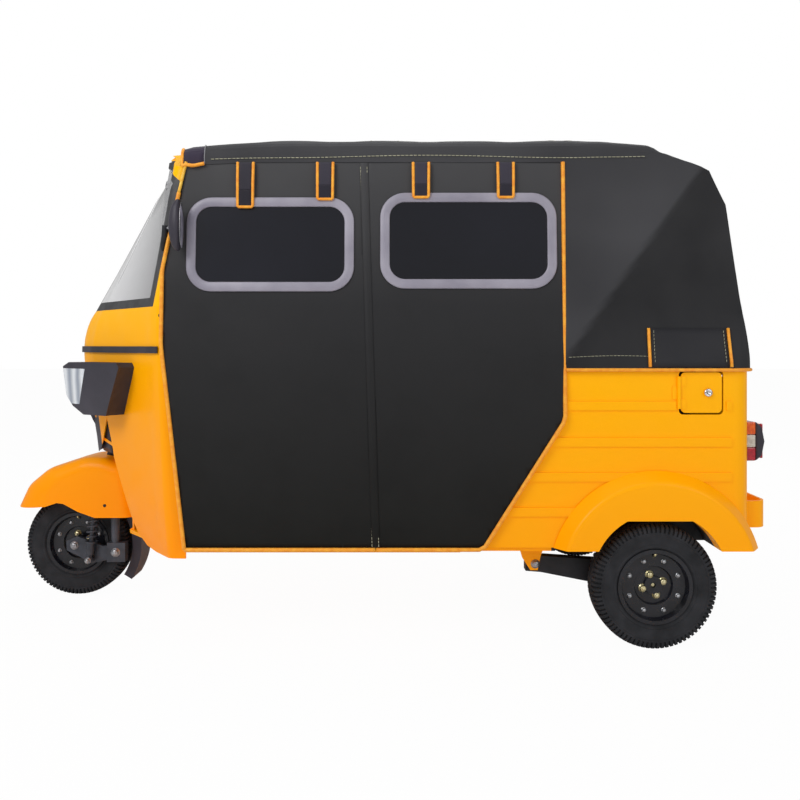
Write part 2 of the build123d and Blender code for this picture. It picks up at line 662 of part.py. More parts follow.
# clear rear window of the hood
hood_back_top = (1200.0, 1400.0)
with BuildPart() as rear_window:
    with BuildSketch(Plane.YZ.offset(1000)):
        with Locations((0, rear_window_z)):
            RectangleRounded(560 - 2 * seat_gap, 220 - 2 * seat_gap, 50)
    extrude(amount=600)
    back_x, back_z = hood_back_top
    extrude(side_outline(((back_x - 4, back_z), (back_x - 1, back_z), (hood_rear_x - 1, body_top_z),
                          (hood_rear_x - 4, body_top_z))), amount=900, both=True,
            mode=Mode.INTERSECT)

with BuildPart() as window_panes:
    add(rear_window.part)
    for name, sign in LEFT_RIGHT:
        for x, z, width, height in window_frames:
            with BuildPart(mode=Mode.PRIVATE) as pane:
                extrude(side_layer(sign, -4, -1, 1000, eaves_z), amount=1000, both=True)
                extrude(side_rectangle(x, z, width - 2 * frame_w - 2 * seat_gap,
                                       height - 2 * frame_w - 2 * seat_gap,
                                       window_corner - frame_w), amount=900, both=True,
                        mode=Mode.INTERSECT)
            add(pane.part)
window_panes.part.label = "window_panes"
export_step(window_panes.part, "parts/window_panes.step")

# straps that hold the rolled curtains: x and lower end
straps = ((-354.0, 1399.0), (-99.6, 1424.0), (206.0, 1430.0), (476.0, 1430.0))
strap_w = 60.0
strap_t = 4.0
with BuildPart() as roll_straps:
    for name, sign in LEFT_RIGHT:
        for x, low_z in straps:
            with BuildPart(mode=Mode.PRIVATE) as strap:
                strap_in = frame_t + 2 * seat_gap
                extrude(side_layer(sign, strap_in, strap_in + strap_t, 1300, eaves_z), amount=1000,
                        both=True)
                with Locations((x, 0, (low_z + eaves_z - 5) / 2)):
                    Box(strap_w, 1400, eaves_z - 5 - low_z, mode=Mode.INTERSECT)
            add(strap.part)
roll_straps.part.label = "roll_straps"
export_step(roll_straps.part, "parts/roll_straps.step")

def tube(points, radius, bend):
    """Round tube along a path of straight runs and bends."""
    with BuildPart() as piece:
        with BuildLine() as path:
            if len(points) > 2:
                FilletPolyline(*points, radius=bend)
            else:
                Line(*points)
        with BuildSketch(Plane(origin=path.line @ 0, z_dir=path.line % 0)):
            Circle(radius)
        sweep(path=path.line)
    return piece.part


# ---------------------------------------------------------------- frame below the hood
frame_r = 13.0
rail_z = eaves_z + 18
rail_y = cloth_y(rail_z) - cloth_t - frame_r - seat_gap
pillar_foot_y = body_half - panel_t - frame_r - seat_gap - 6
post_gap = 1.0
post_x = 90.0
quarter_post_x = 645.0
partition_z = (640.0, 960.0)  # bars across behind the driver
with BuildPart() as door_posts:
    for name, sign in LEFT_RIGHT:
        for x, foot_z in ((post_x, floor_top_z), (quarter_post_x, deck_z)):
            add(tube(((x, sign * pillar_foot_y, foot_z - 20),
                      (x, sign * rail_y, rail_z - frame_r + 20)), frame_r, 0))
    with Locations((post_x, 0, floor_top_z - 50)):
        Box(100, 1400, 100, mode=Mode.SUBTRACT)
    with Locations((quarter_post_x, 0, deck_z - 50)):
        Box(100, 1400, 100, mode=Mode.SUBTRACT)
    with Locations((0, 0, rail_z - frame_r - seat_gap + 100)):
        Box(3000, 1400, 200, mode=Mode.SUBTRACT)
    for level in partition_z:
        lean = (pillar_foot_y - rail_y) * (level - floor_top_z) / (rail_z - floor_top_z)
        bar_end = pillar_foot_y - lean - frame_r - 2 * seat_gap
        add(tube(((post_x, -bar_end, level), (post_x, bar_end, level)), frame_r - 2, 0))
door_posts.part.label = "door_posts"
export_step(door_posts.part, "parts/door_posts.step")

bow_xs = (-250.0, post_x, 370.0, quarter_post_x, 960.0)
bow_end_y = rail_y - frame_r / 2
bow_rise = 96.0
with BuildPart() as roof_frame:
    for bow_x in bow_xs:
        with BuildLine() as bow_path:
            ThreePointArc((bow_x, -bow_end_y, rail_z), (bow_x, 0, rail_z + bow_rise),
                          (bow_x, bow_end_y, rail_z))
        with BuildSketch(Plane(origin=bow_path.line @ 0, z_dir=bow_path.line % 0)):
            Circle(frame_r - 2)
        sweep(path=bow_path.line)
    for name, sign in LEFT_RIGHT:
        with Locations(((bow_xs[0] + bow_xs[-1]) / 2, sign * rail_y, rail_z)):
            Cylinder(frame_r + seat_gap, 2000, rotation=(0, 90, 0), mode=Mode.SUBTRACT)
    for name, sign in LEFT_RIGHT:
        add(tube(((cowl_rear_x + seat_gap, sign * rail_y, rail_z), (1040, sign * rail_y, rail_z)), frame_r,
                 0))
roof_frame.part.label = "roof_frame"
export_step(roof_frame.part, "parts/roof_frame.step")

# ---------------------------------------------------------------- seats
cushion_t = 90.0
with BuildPart() as driver_seat_box:
    with Locations((-230, 0, (floor_top_z + 600) / 2)):
        Box(400, 420, 600 - floor_top_z)
        Box(400 - 2 * panel_t, 420 - 2 * panel_t, 600 - floor_top_z, mode=Mode.SUBTRACT)
    with Locations((-230, 0, 600 - panel_t / 2)):
        Box(400, 420, panel_t)
driver_seat_box.part.label = "driver_seat_box"
export_step(driver_seat_box.part, "parts/driver_seat_box.step")

with BuildPart() as driver_cushion:
    with Locations((-230, 0, 600 + seat_gap + cushion_t / 2)):
        Box(430, 460, cushion_t)
    fillet(driver_cushion.edges().filter_by(Axis.Z), 40)
driver_cushion.part.label = "driver_cushion"
export_step(driver_cushion.part, "parts/driver_cushion.step")


back_x_mid = post_x - frame_r + 2 - seat_gap - 30
with BuildPart() as driver_backrest:
    with Locations((back_x_mid, 0, 840)):
        Box(60, 440, 270)
    fillet(driver_backrest.edges().filter_by(Axis.X), 40)
driver_backrest.part.label = "driver_backrest"
export_step(driver_backrest.part, "parts/driver_backrest.step")

bench_x = 830.0
bench_half = 545.0
with BuildPart() as bench_cushion:
    with Locations((bench_x, 0, deck_z + seat_gap + 55)):
        Box(400, 2 * bench_half, 110)
    fillet(bench_cushion.edges().filter_by(Axis.Z), 40)
bench_cushion.part.label = "bench_cushion"
export_step(bench_cushion.part, "parts/bench_cushion.step")

back_lean = 8.0
with BuildPart() as bench_backrest:
    with BuildSketch(Plane.XZ):
        with Locations((1095, deck_z + seat_gap + 300)):
            Rectangle(90, 640, rotation=back_lean)
        with Locations((1100, deck_z + seat_gap - 100)):
            Rectangle(600, 200, mode=Mode.SUBTRACT)
    extrude(amount=bench_half - 30, both=True)
bench_backrest.part.label = "bench_backrest"
export_step(bench_backrest.part, "parts/bench_backrest.step")

# ---------------------------------------------------------------- engine and rear running gear
engine_front_x = 770.0
engine_rear_x = 1130.0
engine_half = 190.0
with BuildPart() as engine_block:
    with Locations(((engine_front_x + engine_rear_x) / 2, 0, 400)):
        Box(engine_rear_x - engine_front_x, 2 * engine_half, 300)
    fillet(engine_block.edges().filter_by(Axis.Y), 30)
engine_block.part.label = "engine_block"
export_step(engine_block.part, "parts/engine_block.step")

wheel_y = rear_track / 2
axle_r = 16.0
hub_in_y = wheel_y - 34.0
arm_pivot = (582.0, 243.0)
axle_depth = 24.0            # how far a stub axle reaches into its hub
with BuildPart() as trailing_arms:
    for name, sign in LEFT_RIGHT:
        with BuildSketch(Plane.XZ.offset(-sign * arm_y)):
            with BuildLine():
                Polyline((arm_pivot[0] - 30, arm_pivot[1] + 26), (rear_axle_x, tyre_radius + 46),
                         (rear_axle_x + 46, tyre_radius + 10), (rear_axle_x + 30, tyre_radius - 44),
                         (rear_axle_x - 40, tyre_radius - 44), (arm_pivot[0] + 20, arm_pivot[1] - 30),
                         (arm_pivot[0] - 30, arm_pivot[1] - 26), close=True)
            make_face()
        extrude(amount=arm_t / 2, both=True)
        carrier_length = hub_in_y - arm_y - barrel_gap
        with Locations((rear_axle_x, sign * (arm_y + carrier_length / 2), tyre_radius)):
            Cylinder(34, carrier_length, rotation=(90, 0, 0))
        with Locations((rear_axle_x, sign * (arm_y + (hub_in_y + axle_depth - arm_y) / 2), tyre_radius)):
            Cylinder(axle_r, hub_in_y + axle_depth - arm_y, rotation=(90, 0, 0))
trailing_arms.part.label = "trailing_arms"
export_step(trailing_arms.part, "parts/trailing_arms.step")

shaft_r = 14.0
with BuildPart() as drive_shafts:
    shaft_in = engine_half + seat_gap
    shaft_out = arm_y - arm_t / 2 - seat_gap
    for name, sign in LEFT_RIGHT:
        with Locations((rear_axle_x, sign * (shaft_in + shaft_out) / 2, tyre_radius)):
            Cylinder(shaft_r, shaft_out - shaft_in, rotation=(90, 0, 0))
    with Locations((rear_axle_x, 0, tyre_radius)):
        Cylinder(46, 2 * shaft_in, rotation=(90, 0, 0))
    with Locations((rear_axle_x, 0, tyre_radius + 27)):
        Box(60, 200, 50 - 2 * seat_gap)
drive_shafts.part.label = "drive_shafts"
export_step(drive_shafts.part, "parts/drive_shafts.step")

damper_x = rear_axle_x - 60
damper_r = 30.0
damper_y = arch_inner_half - 2 - damper_r - moving_gap / 2
damper_foot_z = arm_pivot[1] + 26 - 25.0 / 390.0 * (damper_x - 12 - arm_pivot[0] + 30) + seat_gap
with BuildPart() as rear_dampers:
    for name, sign in LEFT_RIGHT:
        add(tube(((damper_x, sign * damper_y, damper_foot_z),
                  (damper_x, sign * damper_y, deck_z - 12 - seat_gap)), 12, 0))
        with Locations((damper_x, sign * damper_y, 470)):
            Cylinder(damper_r, 260)
rear_dampers.part.label = "rear_dampers"
export_step(rear_dampers.part, "parts/rear_dampers.step")

muffler_x = engine_rear_x + 60.0
muffler_z = 290.0
muffler_r = 52.0
tail_pipe_r = 15.0
with BuildPart() as exhaust:
    with Locations((muffler_x, 230, muffler_z)):
        Cylinder(muffler_r, 330, rotation=(90, 0, 0))
    fillet(exhaust.edges(), 12)
    add(tube(((engine_rear_x + seat_gap, 130, muffler_z + 30), (muffler_x, 130, muffler_z + 30)), 14, 0))
    add(tube(((muffler_x, 380, muffler_z - 5), (muffler_x, 440, muffler_z - 5),
              (muffler_x + 72, 440, muffler_z - 20)), tail_pipe_r, 30))
exhaust.part.label = "exhaust"
export_step(exhaust.part, "parts/exhaust.step")

# ---------------------------------------------------------------- wheels
tyre_section = (
    # radius, distance from the middle of the tyre
    (bead_radius + seat_gap, 36.0), (bead_radius + 7, 37.0), (bead_radius + 15, 46.0),
    (150.0, tyre_width / 2), (176.0, tyre_width / 2 - 2), (191.0, 42.0), (tyre_radius, 30.0),
)
rim_section = (
    # radius, distance out from the middle of the wheel
    (104.0, -46.0), (118.0, -46.0), (118.0, -40.0), (bead_radius, -38.0), (bead_radius, 38.0),
    (118.0, 40.0), (118.0, 46.0), (106.0, 46.0), (100.0, 26.0), (62.0, 24.0), (58.0, 14.0),
    (30.0, 14.0), (28.0, 24.0),
)
rim_back = ((axle_r + 0.6, -34.0), (80.0, -34.0), (84.0, 6.0), (104.0, 16.0))
blind_bore = ((8.0, 24.0), (8.0, -4.0), (axle_r + 0.6, -6.0))
through_bore = ((axle_r + 0.6, 24.0),)


def turned(points, x, y, sign):
    """Body of revolution about a wheel's axle, from (radius, distance out) points."""
    with BuildPart() as body:
        with BuildSketch(Plane.XY.offset(tyre_radius)):
            with BuildLine():
                Polyline(*[(x + radius, y + sign * out) for radius, out in points], close=True)
            make_face()
        revolve(axis=Axis((x, y, tyre_radius), (0, 1, 0)))
    return body.part


both_sides = [(radius, out) for radius, out in tyre_section]
both_sides += [(radius, -out) for radius, out in reversed(tyre_section)]
WHEELS = (
    # name, axle x, wheel middle y, side that faces out
    ("front", front_axle_x, 0.0, -1),
    ("rear_left", rear_axle_x, -wheel_y, -1),
    ("rear_right", rear_axle_x, wheel_y, 1),
)
for name, x, y, sign in WHEELS:
    with BuildPart() as tyre:
        add(turned(both_sides, x, y, sign))
    tyre.part.label = f"{name}_tyre"
    export_step(tyre.part, f"parts/{name}_tyre.step")
    with BuildPart() as rim:
        bore = through_bore if name == "front" else blind_bore
        add(turned(rim_section + bore + rim_back, x, y, sign))
    rim.part.label = f"{name}_rim"
    export_step(rim.part, f"parts/{name}_rim.step")

# ---------------------------------------------------------------- steering
crown_z_low = 430.0
leg_y = -94.0
leg_r = 16.0
link_pivot = (-930.0, 180.0)
link_t = 16.0
link_y = -(tyre_width / 2 + moving_gap + 2 + link_t / 2)
with BuildPart() as steering_column:
    add(tube(((axis_x(crown_z_low), 0, crown_z_low), (axis_x(bar_z), 0, bar_z)), column_r, 0))
    add(tube(((axis_x(bar_z) + bar_sweep, -bar_half, bar_z + 20), (axis_x(bar_z), -90, bar_z),
              (axis_x(bar_z), 90, bar_z), (axis_x(bar_z) + bar_sweep, bar_half, bar_z + 20)),
             bar_r, 60))
steering_column.part.label = "steering_column"
export_step(steering_column.part, "parts/steering_column.step")

with BuildPart() as handlebar_grips:
    for name, sign in LEFT_RIGHT:
        inner_end = Vector(axis_x(bar_z), sign * 90, bar_z)
        outer_end = Vector(axis_x(bar_z) + bar_sweep, sign * bar_half, bar_z + 20)
        along = (outer_end - inner_end).normalized()
        grip_start = outer_end - along * 110
        grip_end = outer_end + along * 6
        add(tube((grip_start, grip_end), bar_r + 5, 0))
        with BuildPart(mode=Mode.PRIVATE) as bore:
            add(tube((grip_start - along * 5, outer_end + along * seat_gap), bar_r + seat_gap, 0))
        add(bore.part, mode=Mode.SUBTRACT)
handlebar_grips.part.label = "handlebar_grips"
export_step(handlebar_grips.part, "parts/handlebar_grips.step")

with BuildPart() as fork_leg:
    add(tube(((axis_x(crown_z_low) - 1, 14, crown_z_low - 18), (axis_x(crown_z_low) + 10, leg_y, 412),
              (-938, leg_y, 330), (-934, leg_y, 200)), leg_r, 34))
    with Locations((-928, leg_y, 180)):
        Box(68, 2 * leg_r + 3, 72)
fork_leg.part.label = "fork_leg"
export_step(fork_leg.part, "parts/fork_leg.step")

with BuildPart() as front_link:
    with BuildSketch(Plane.XZ.offset(-link_y)):
        with BuildLine():
            Polyline((link_pivot[0] + 24, 200), (-990, 196), (front_axle_x + 10, 232),
                     (front_axle_x - 30, 215), (front_axle_x - 30, 180), (front_axle_x + 4, 164),
                     (-1033, 130), (link_pivot[0] + 24, 156), close=True)
        make_face()
    extrude(amount=link_t / 2, both=True)
    with Locations((front_axle_x, (link_y + 30) / 2, tyre_radius)):
        Cylinder(axle_r, 30 - link_y, rotation=(90, 0, 0))
front_link.part.label = "front_link"
export_step(front_link.part, "parts/front_link.step")

spring_from = 66.0           # spring seats along the damper, from its lower eye
spring_to = 206.0
spring_r = 18.0
spring_pitch = 20.0
wire_r = 3.5
seat_t = 3.0
damper_top_gap = 1.2         # between its top eye and the fork's crown
damper_low = Vector(-1033, leg_y, 150)
damper_high = Vector(-1010, leg_y, 412 - leg_r - damper_top_gap)
with BuildPart() as front_damper:
    add(tube((damper_low, damper_high), 9, 0))
    along = (damper_high - damper_low).normalized()
    for seat in (spring_from, spring_to):
        add(tube((damper_low + along * (seat - seat_t), damper_low + along * (seat + seat_t)),
                 spring_r + wire_r, 0))
    add(tube((damper_low + along * 20, damper_low + along * spring_from), 15, 0))
    with Locations((-1033, (leg_y + link_y - link_t / 2 - seat_gap) / 2, 150)):
        Cylinder(12, abs(leg_y - (link_y - link_t / 2 - seat_gap)), rotation=(90, 0, 0))

# its coil spring sits between the two seats
coil_inset = seat_t + wire_r + seat_gap
coil = Helix(spring_pitch, spring_to - spring_from - 2 * coil_inset, spring_r,
             center=damper_low + along * (spring_from + coil_inset), direction=along)
with BuildPart() as spring:
    with BuildSketch(Plane(origin=coil @ 0, z_dir=coil % 0)):
        Circle(wire_r)
    sweep(path=coil, is_frenet=True)
front_damper.part = front_damper.part + spring.part
front_damper.part.label = "front_damper"
export_step(front_damper.part, "parts/front_damper.step")

guard_half = 122.0
guard_t = 4.0
guard_round = 45.0
guard_rear_x = -862.0        # lower rear corner of the mudguard
guard_low_z = 312.0
guard_rear_lean = 23 / 188   # how its rear edge leans forward with height


def guard_body(inset, open_below):
    """Closed body of the front mudguard, moved in by inset."""
    low = -120 if open_below else 0
    with BuildPart() as body:
        with BuildSketch(Plane.XZ):
            with BuildLine():
                top = FilletPolyline((-1331 + inset + low * 15 / 80, 345 + low), (-1316 + inset, 425),
                                     (-1240, 487 - inset), (-1010, 545 - inset),
                                     (-885 - inset, 500 - inset),
                                     (guard_rear_x - inset - low * guard_rear_lean, guard_low_z + low),
                                     radius=[60, 120, 200, 70])
                Polyline(top @ 1, (-1005, guard_low_z + low), (-1067, 334 + low), (-1143, 364 + low),
                         (-1199, 368 + low), top @ 0)
            make_face()
        extrude(amount=guard_half - inset, both=True)
        crest = body.edges().filter_by(Plane.XZ).filter_by(lambda e: (e @ 0.5).Z > 376)
        fillet(crest, guard_round - inset)
    return body.part


with BuildPart() as front_mudguard:
    add(guard_body(0, False))
    add(guard_body(guard_t, True), mode=Mode.SUBTRACT)
    add(tube(((axis_x(300), 0, 300), (axis_x(700), 0, 700)), column_r + seat_gap, 0),
        mode=Mode.SUBTRACT)
front_mudguard.part.label = "front_mudguard"
export_step(front_mudguard.part, "parts/front_mudguard.step")

# black rear half of the mudguard, close behind the tyre
tail_r = 250.0
tail_in_r = 216.0
tail_half = 60.0
tail_t = 4.0
tail_from = -32.0
tail_to = 27.0
lug_high_z = 326.0           # lug that joins it to the mudguard
lug_h = 20.0
lug_t = 11.0


def tail_sector(inner, outer):
    """Ring sector behind the front wheel, seen from the side."""
    reach = 2 * outer
    hub_plane = Plane(origin=(front_axle_x, 0, tyre_radius), x_dir=(1, 0, 0), z_dir=(0, -1, 0))
    with BuildSketch(hub_plane) as sector:
        with BuildLine():
            Polyline((0, 0), (reach * cos(radians(tail_from)), reach * sin(radians(tail_from))),
                     (reach * cos(radians(tail_to)), reach * sin(radians(tail_to))), close=True)
        make_face()
        Circle(outer, mode=Mode.INTERSECT)
        Circle(inner, mode=Mode.SUBTRACT)
    return sector.sketch


with BuildPart() as splash_guard:
    extrude(tail_sector(tail_in_r, tail_r), amount=tail_half, both=True)
    extrude(tail_sector(tail_in_r - 10, tail_r - tail_t), amount=tail_half - tail_t, both=True,
            mode=Mode.SUBTRACT)
    lug_rear_x = guard_rear_x - guard_t - seat_gap - guard_rear_lean * (lug_high_z - guard_low_z)
    with Locations(((lug_rear_x - lug_t / 2), 0, lug_high_z - lug_h / 2)):
        Box(lug_t, 100, lug_h)
splash_guard.part.label = "splash_guard"
export_step(splash_guard.part, "parts/splash_guard.step")

# ---------------------------------------------------------------- head lamps and mirrors
lamp_side = ((-1070, 884), (-1038, 899), (-800, 900), (-788, 885), (-856, 720), (-973, 716),
             (-1029, 744), (-1060, 780))
lens_side = ((-1200, 877), (-955, 877), (-992, 752), (-1200, 752))
lamp_proud = 46.0
lens_deep = 22.0
with BuildPart() as headlamp_housings:
    add(cowl_body(-lamp_proud))
    add(cowl_body(-seat_gap), mode=Mode.SUBTRACT)
    extrude(side_outline(lamp_side), amount=900, both=True, mode=Mode.INTERSECT)
    with Locations((-900, 0, 800)):
        Box(600, 2 * (mask_half + seat_gap), 300, mode=Mode.SUBTRACT)
    with BuildPart(mode=Mode.PRIVATE) as lens_pocket:
        add(cowl_body(-lamp_proud - 10))
        add(cowl_body(-lamp_proud + lens_deep), mode=Mode.SUBTRACT)
        extrude(side_outline(lens_side), amount=900, both=True, mode=Mode.INTERSECT)
    add(lens_pocket.part, mode=Mode.SUBTRACT)
headlamp_housings.part.label = "headlamp_housings"
export_step(headlamp_housings.part, "parts/headlamp_housings.step")

with BuildPart() as headlamp_lenses:
    add(cowl_body(-lamp_proud))
    add(cowl_body(-lamp_proud + lens_deep - seat_gap), mode=Mode.SUBTRACT)
    extrude(side_outline(lamp_side), amount=900, both=True, mode=Mode.INTERSECT)
    extrude(side_outline(lens_side), amount=900, both=True, mode=Mode.INTERSECT)
    with Locations((-900, 0, 800)):
        Box(600, 2 * (mask_half + seat_gap), 300, mode=Mode.SUBTRACT)
headlamp_lenses.part.label = "headlamp_lenses"
export_step(headlamp_lenses.part, "parts/headlamp_lenses.step")

mirror_x = -555.0
mirror_z = 1335.0
with BuildPart() as mirrors:
    for name, sign in LEFT_RIGHT:
        with BuildPart(mode=Mode.PRIVATE) as head:
            with BuildSketch(Plane.YZ.offset(mirror_x)):
                with Locations((sign * 626, mirror_z)):
                    SlotOverall(160, 66, rotation=90)
            extrude(amount=14, both=True)
            fillet(head.edges().group_by(Axis.X)[0], 10)
        add(head.part)
        add(tube(((mirror_x - 8, sign * 620, mirror_z - 40), (-606, sign * 590, 1285),
                  (-622, sign * 556, 1270)), 8, 14))
mirrors.part.label = "mirrors"
export_step(mirrors.part, "parts/mirrors.step")
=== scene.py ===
"""Looks of the auto rickshaw: cloth, piping, tyres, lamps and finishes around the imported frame."""
import math

import bmesh
import bpy
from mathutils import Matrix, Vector, noise
from mathutils.bvhtree import BVHTree


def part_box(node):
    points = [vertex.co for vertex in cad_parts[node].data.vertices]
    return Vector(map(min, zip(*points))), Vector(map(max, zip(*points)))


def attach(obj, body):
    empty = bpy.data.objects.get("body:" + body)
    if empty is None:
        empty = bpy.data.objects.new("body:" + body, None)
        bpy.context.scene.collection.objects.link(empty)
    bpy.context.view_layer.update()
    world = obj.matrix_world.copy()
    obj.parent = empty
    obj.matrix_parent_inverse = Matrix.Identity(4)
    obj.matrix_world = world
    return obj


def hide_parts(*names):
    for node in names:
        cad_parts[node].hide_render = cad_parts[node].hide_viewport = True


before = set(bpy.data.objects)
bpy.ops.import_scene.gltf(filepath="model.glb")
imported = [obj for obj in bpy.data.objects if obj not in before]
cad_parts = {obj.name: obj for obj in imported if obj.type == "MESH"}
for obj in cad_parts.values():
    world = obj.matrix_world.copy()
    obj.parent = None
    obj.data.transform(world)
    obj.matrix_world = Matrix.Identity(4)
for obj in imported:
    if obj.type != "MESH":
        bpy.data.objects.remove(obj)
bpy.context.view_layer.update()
SIDES = (("left", -1), ("right", 1))


# ---------------------------------------------------------------- small helpers
def share(value, start, end):
    """0 at start, 1 at end, held between them outside."""
    return min(1.0, max(0.0, (value - start) / (end - start)))


def new_object(name, data):
    """Object in the scene's own collection."""
    thing = bpy.data.objects.new(name, data)
    bpy.context.scene.collection.objects.link(thing)
    return thing


def add_node(tree, kind, inputs=None, **settings):
    """Shader node with its settings and the values of its inputs."""
    node = tree.nodes.new(f"ShaderNode{kind}")
    for setting, value in settings.items():
        setattr(node, setting, value)
    for socket, value in (inputs or {}).items():
        node.inputs[socket].default_value = value
    return node


def connect(tree, *pairs):
    """Links each (output, input) pair."""
    for start, end in pairs:
        tree.links.new(start, end)


# ---------------------------------------------------------------- camera, floor and light
bpy.context.scene.view_settings.view_transform = "Standard"
EYE = Vector((0.139, -3.209, 0.960))
LENS_MM = 37.1
HORIZON_SHIFT = -0.0689
WHITE = (1, 1, 1, 1)
AMBIENT = 0.42
FLOOR_HALF = 30
FLOOR_TONE = 0.9
FLOOR_WHITE = 0.97            # share of pure white in what the camera sees of the floor
LAMPS = (
    # name, place, target, size in metres, watts
    ("key", (-2.6, -3.6, 3.6), (0, -0.4, 0.8), 2.2, 105),
    ("fill", (3.2, -4.0, 2.2), (0.2, -0.3, 0.9), 2.6, 36),
    ("top", (0, 0, 4.6), (0, 0, 0.8), 3.0, 42),
    ("back", (1.5, 4.2, 2.8), (0, 0, 0.9), 3.0, 60),
)


def set_camera():
    """Upright camera level with the vehicle's belt, looking square at its left side."""
    data = bpy.data.cameras.new("camera")
    data.lens = LENS_MM
    data.sensor_width = 36
    data.shift_y = HORIZON_SHIFT
    data.clip_end = 200
    camera = new_object("camera", data)
    camera.location = EYE
    camera.rotation_euler = (math.radians(90), 0, 0)
    bpy.context.scene.camera = camera


def set_lamps():
    """Soft square lamps, each turned to its target."""
    for name, place, target, size, watts in LAMPS:
        data = bpy.data.lights.new(name, "AREA")
        data.shape = "SQUARE"
        data.size = size
        data.energy = watts
        lamp = new_object(name, data)
        lamp.location = place
        lamp.rotation_euler = (Vector(target) - Vector(place)).to_track_quat("-Z", "Y").to_euler()


def split_by_ray(tree, lit, seen, output, white_share=1.0):
    """Shows one shader to camera and transmission rays, and another to all the rest."""
    path = add_node(tree, "LightPath")
    either = add_node(tree, "Math", operation="MAXIMUM")
    white = add_node(tree, "Math", {1: white_share}, operation="MULTIPLY")
    mix = add_node(tree, "MixShader")
    connect(tree, (path.outputs["Is Camera Ray"], either.inputs[0]),
            (path.outputs["Is Transmission Ray"], either.inputs[1]),
            (either.outputs[0], white.inputs[0]), (white.outputs[0], mix.inputs[0]),
            (lit.outputs[0], mix.inputs[1]), (seen.outputs[0], mix.inputs[2]),
            (mix.outputs[0], add_node(tree, output).inputs["Surface"]))


def set_world():
    """White for what the camera sees, and a plain ambient light for the rest."""
    world = bpy.data.worlds.new("studio")
    bpy.context.scene.world = world
    world.use_nodes = True
    tree = world.node_tree
    tree.nodes.clear()
    split_by_ray(tree, add_node(tree, "Background", {"Color": WHITE, "Strength": AMBIENT}),
                 add_node(tree, "Background", {"Color": WHITE}), "OutputWorld")


def set_floor():
    """Plain white floor that keeps a soft shadow."""
    mesh = bpy.data.meshes.new("floor")
    corners = [(x * FLOOR_HALF, y * FLOOR_HALF, 0) for x, y in ((-1, -1), (1, -1), (1, 1), (-1, 1))]
    mesh.from_pydata(corners, [], [(0, 1, 2, 3)])
    material = bpy.data.materials.new("floor_white")
    material.use_nodes = True
    tree = material.node_tree
    tree.nodes.clear()
    split_by_ray(tree, add_node(tree, "BsdfDiffuse", {"Color": (FLOOR_TONE,) * 3 + (1,)}),
                 add_node(tree, "Emission", {"Color": WHITE}), "OutputMaterial", FLOOR_WHITE)
    mesh.materials.append(material)
    new_object("floor", mesh)


set_camera()
set_floor()
set_world()
set_lamps()


# ---------------------------------------------------------------- materials
def linear(hex_colour):
    """Scene colour of a written one such as 'FFB000'."""
    def one(pair):
        """Linear value of one written channel."""
        value = int(pair, 16) / 255
        return value / 12.92 if value <= 0.04045 else ((value + 0.055) / 1.055) ** 2.4
    return tuple(one(hex_colour[i:i + 2]) for i in (0, 2, 4)) + (1.0,)


def shader_input(material, socket):
    """Input of a material's principled shader."""
    return material.node_tree.nodes["Principled BSDF"].inputs[socket]


def noise_node(material, scale, detail=4.0, stretch=(1, 1, 1)):
    """Noise in the object's own coordinates; scale counts features per metre."""
    tree = material.node_tree
    place = add_node(tree, "TexCoord")
    mapping = add_node(tree, "Mapping", {"Scale": stretch})
    texture = add_node(tree, "TexNoise", {"Scale": scale, "Detail": detail})
    connect(tree, (place.outputs["Object"], mapping.inputs["Vector"]),
            (mapping.outputs[0], texture.inputs["Vector"]))
    return texture.outputs["Fac"]


def ramp_node(tree, stops):
    """Colour ramp from (position, colour) stops."""
    ramp = add_node(tree, "ValToRGB")
    elements = ramp.color_ramp.elements
    for element, (position, colour) in zip(elements, (stops[0], stops[-1])):
        element.position = position
        element.color = linear(colour)
    for position, colour in stops[1:-1]:
        elements.new(position).color = linear(colour)
    return ramp


def mottle(material, low, high, scale, detail=4.0):
    """Base colour that drifts between two tones."""
    tree = material.node_tree
    ramp = ramp_node(tree, ((0.3, low), (0.7, high)))
    connect(tree, (noise_node(material, scale, detail), ramp.inputs["Fac"]),
            (ramp.outputs["Color"], shader_input(material, "Base Color")))


def grade(material, axis, from_at, to_at, stops):
    """Base colour that grades along one object axis (0, 1 or 2) between two places in metres."""
    tree = material.node_tree
    place = add_node(tree, "TexCoord")
    split = add_node(tree, "SeparateXYZ")
    reach = add_node(tree, "MapRange", {"From Min": from_at, "From Max": to_at})
    ramp = ramp_node(tree, stops)
    connect(tree, (place.outputs["Object"], split.inputs[0]), (split.outputs[axis], reach.inputs["Value"]),
            (reach.outputs[0], ramp.inputs["Fac"]),
            (ramp.outputs["Color"], shader_input(material, "Base Color")))
    return ramp


def bumps(material, layers):
    """Stacks bump layers of (scale, strength, height in metres and, if wanted, stretch)."""
    tree = material.node_tree
    before = None
    for scale, strength, height, *stretch in layers:
        bump = add_node(tree, "Bump", {"Strength": strength, "Distance": height})
        connect(tree, (noise_node(material, scale, 3.0, *stretch), bump.inputs["Height"]))
        if before:
            connect(tree, (before.outputs["Normal"], bump.inputs["Normal"]))
        before = bump
    connect(tree, (before.outputs["Normal"], shader_input(material, "Normal")))


def worn_roughness(material, low, high, scale):
    """Roughness that drifts between two values."""
    tree = material.node_tree
    reach = add_node(tree, "MapRange", {"From Min": 0.35, "From Max": 0.65, "To Min": low, "To Max": high})
    connect(tree, (noise_node(material, scale), reach.inputs["Value"]),
            (reach.outputs[0], shader_input(material, "Roughness")))


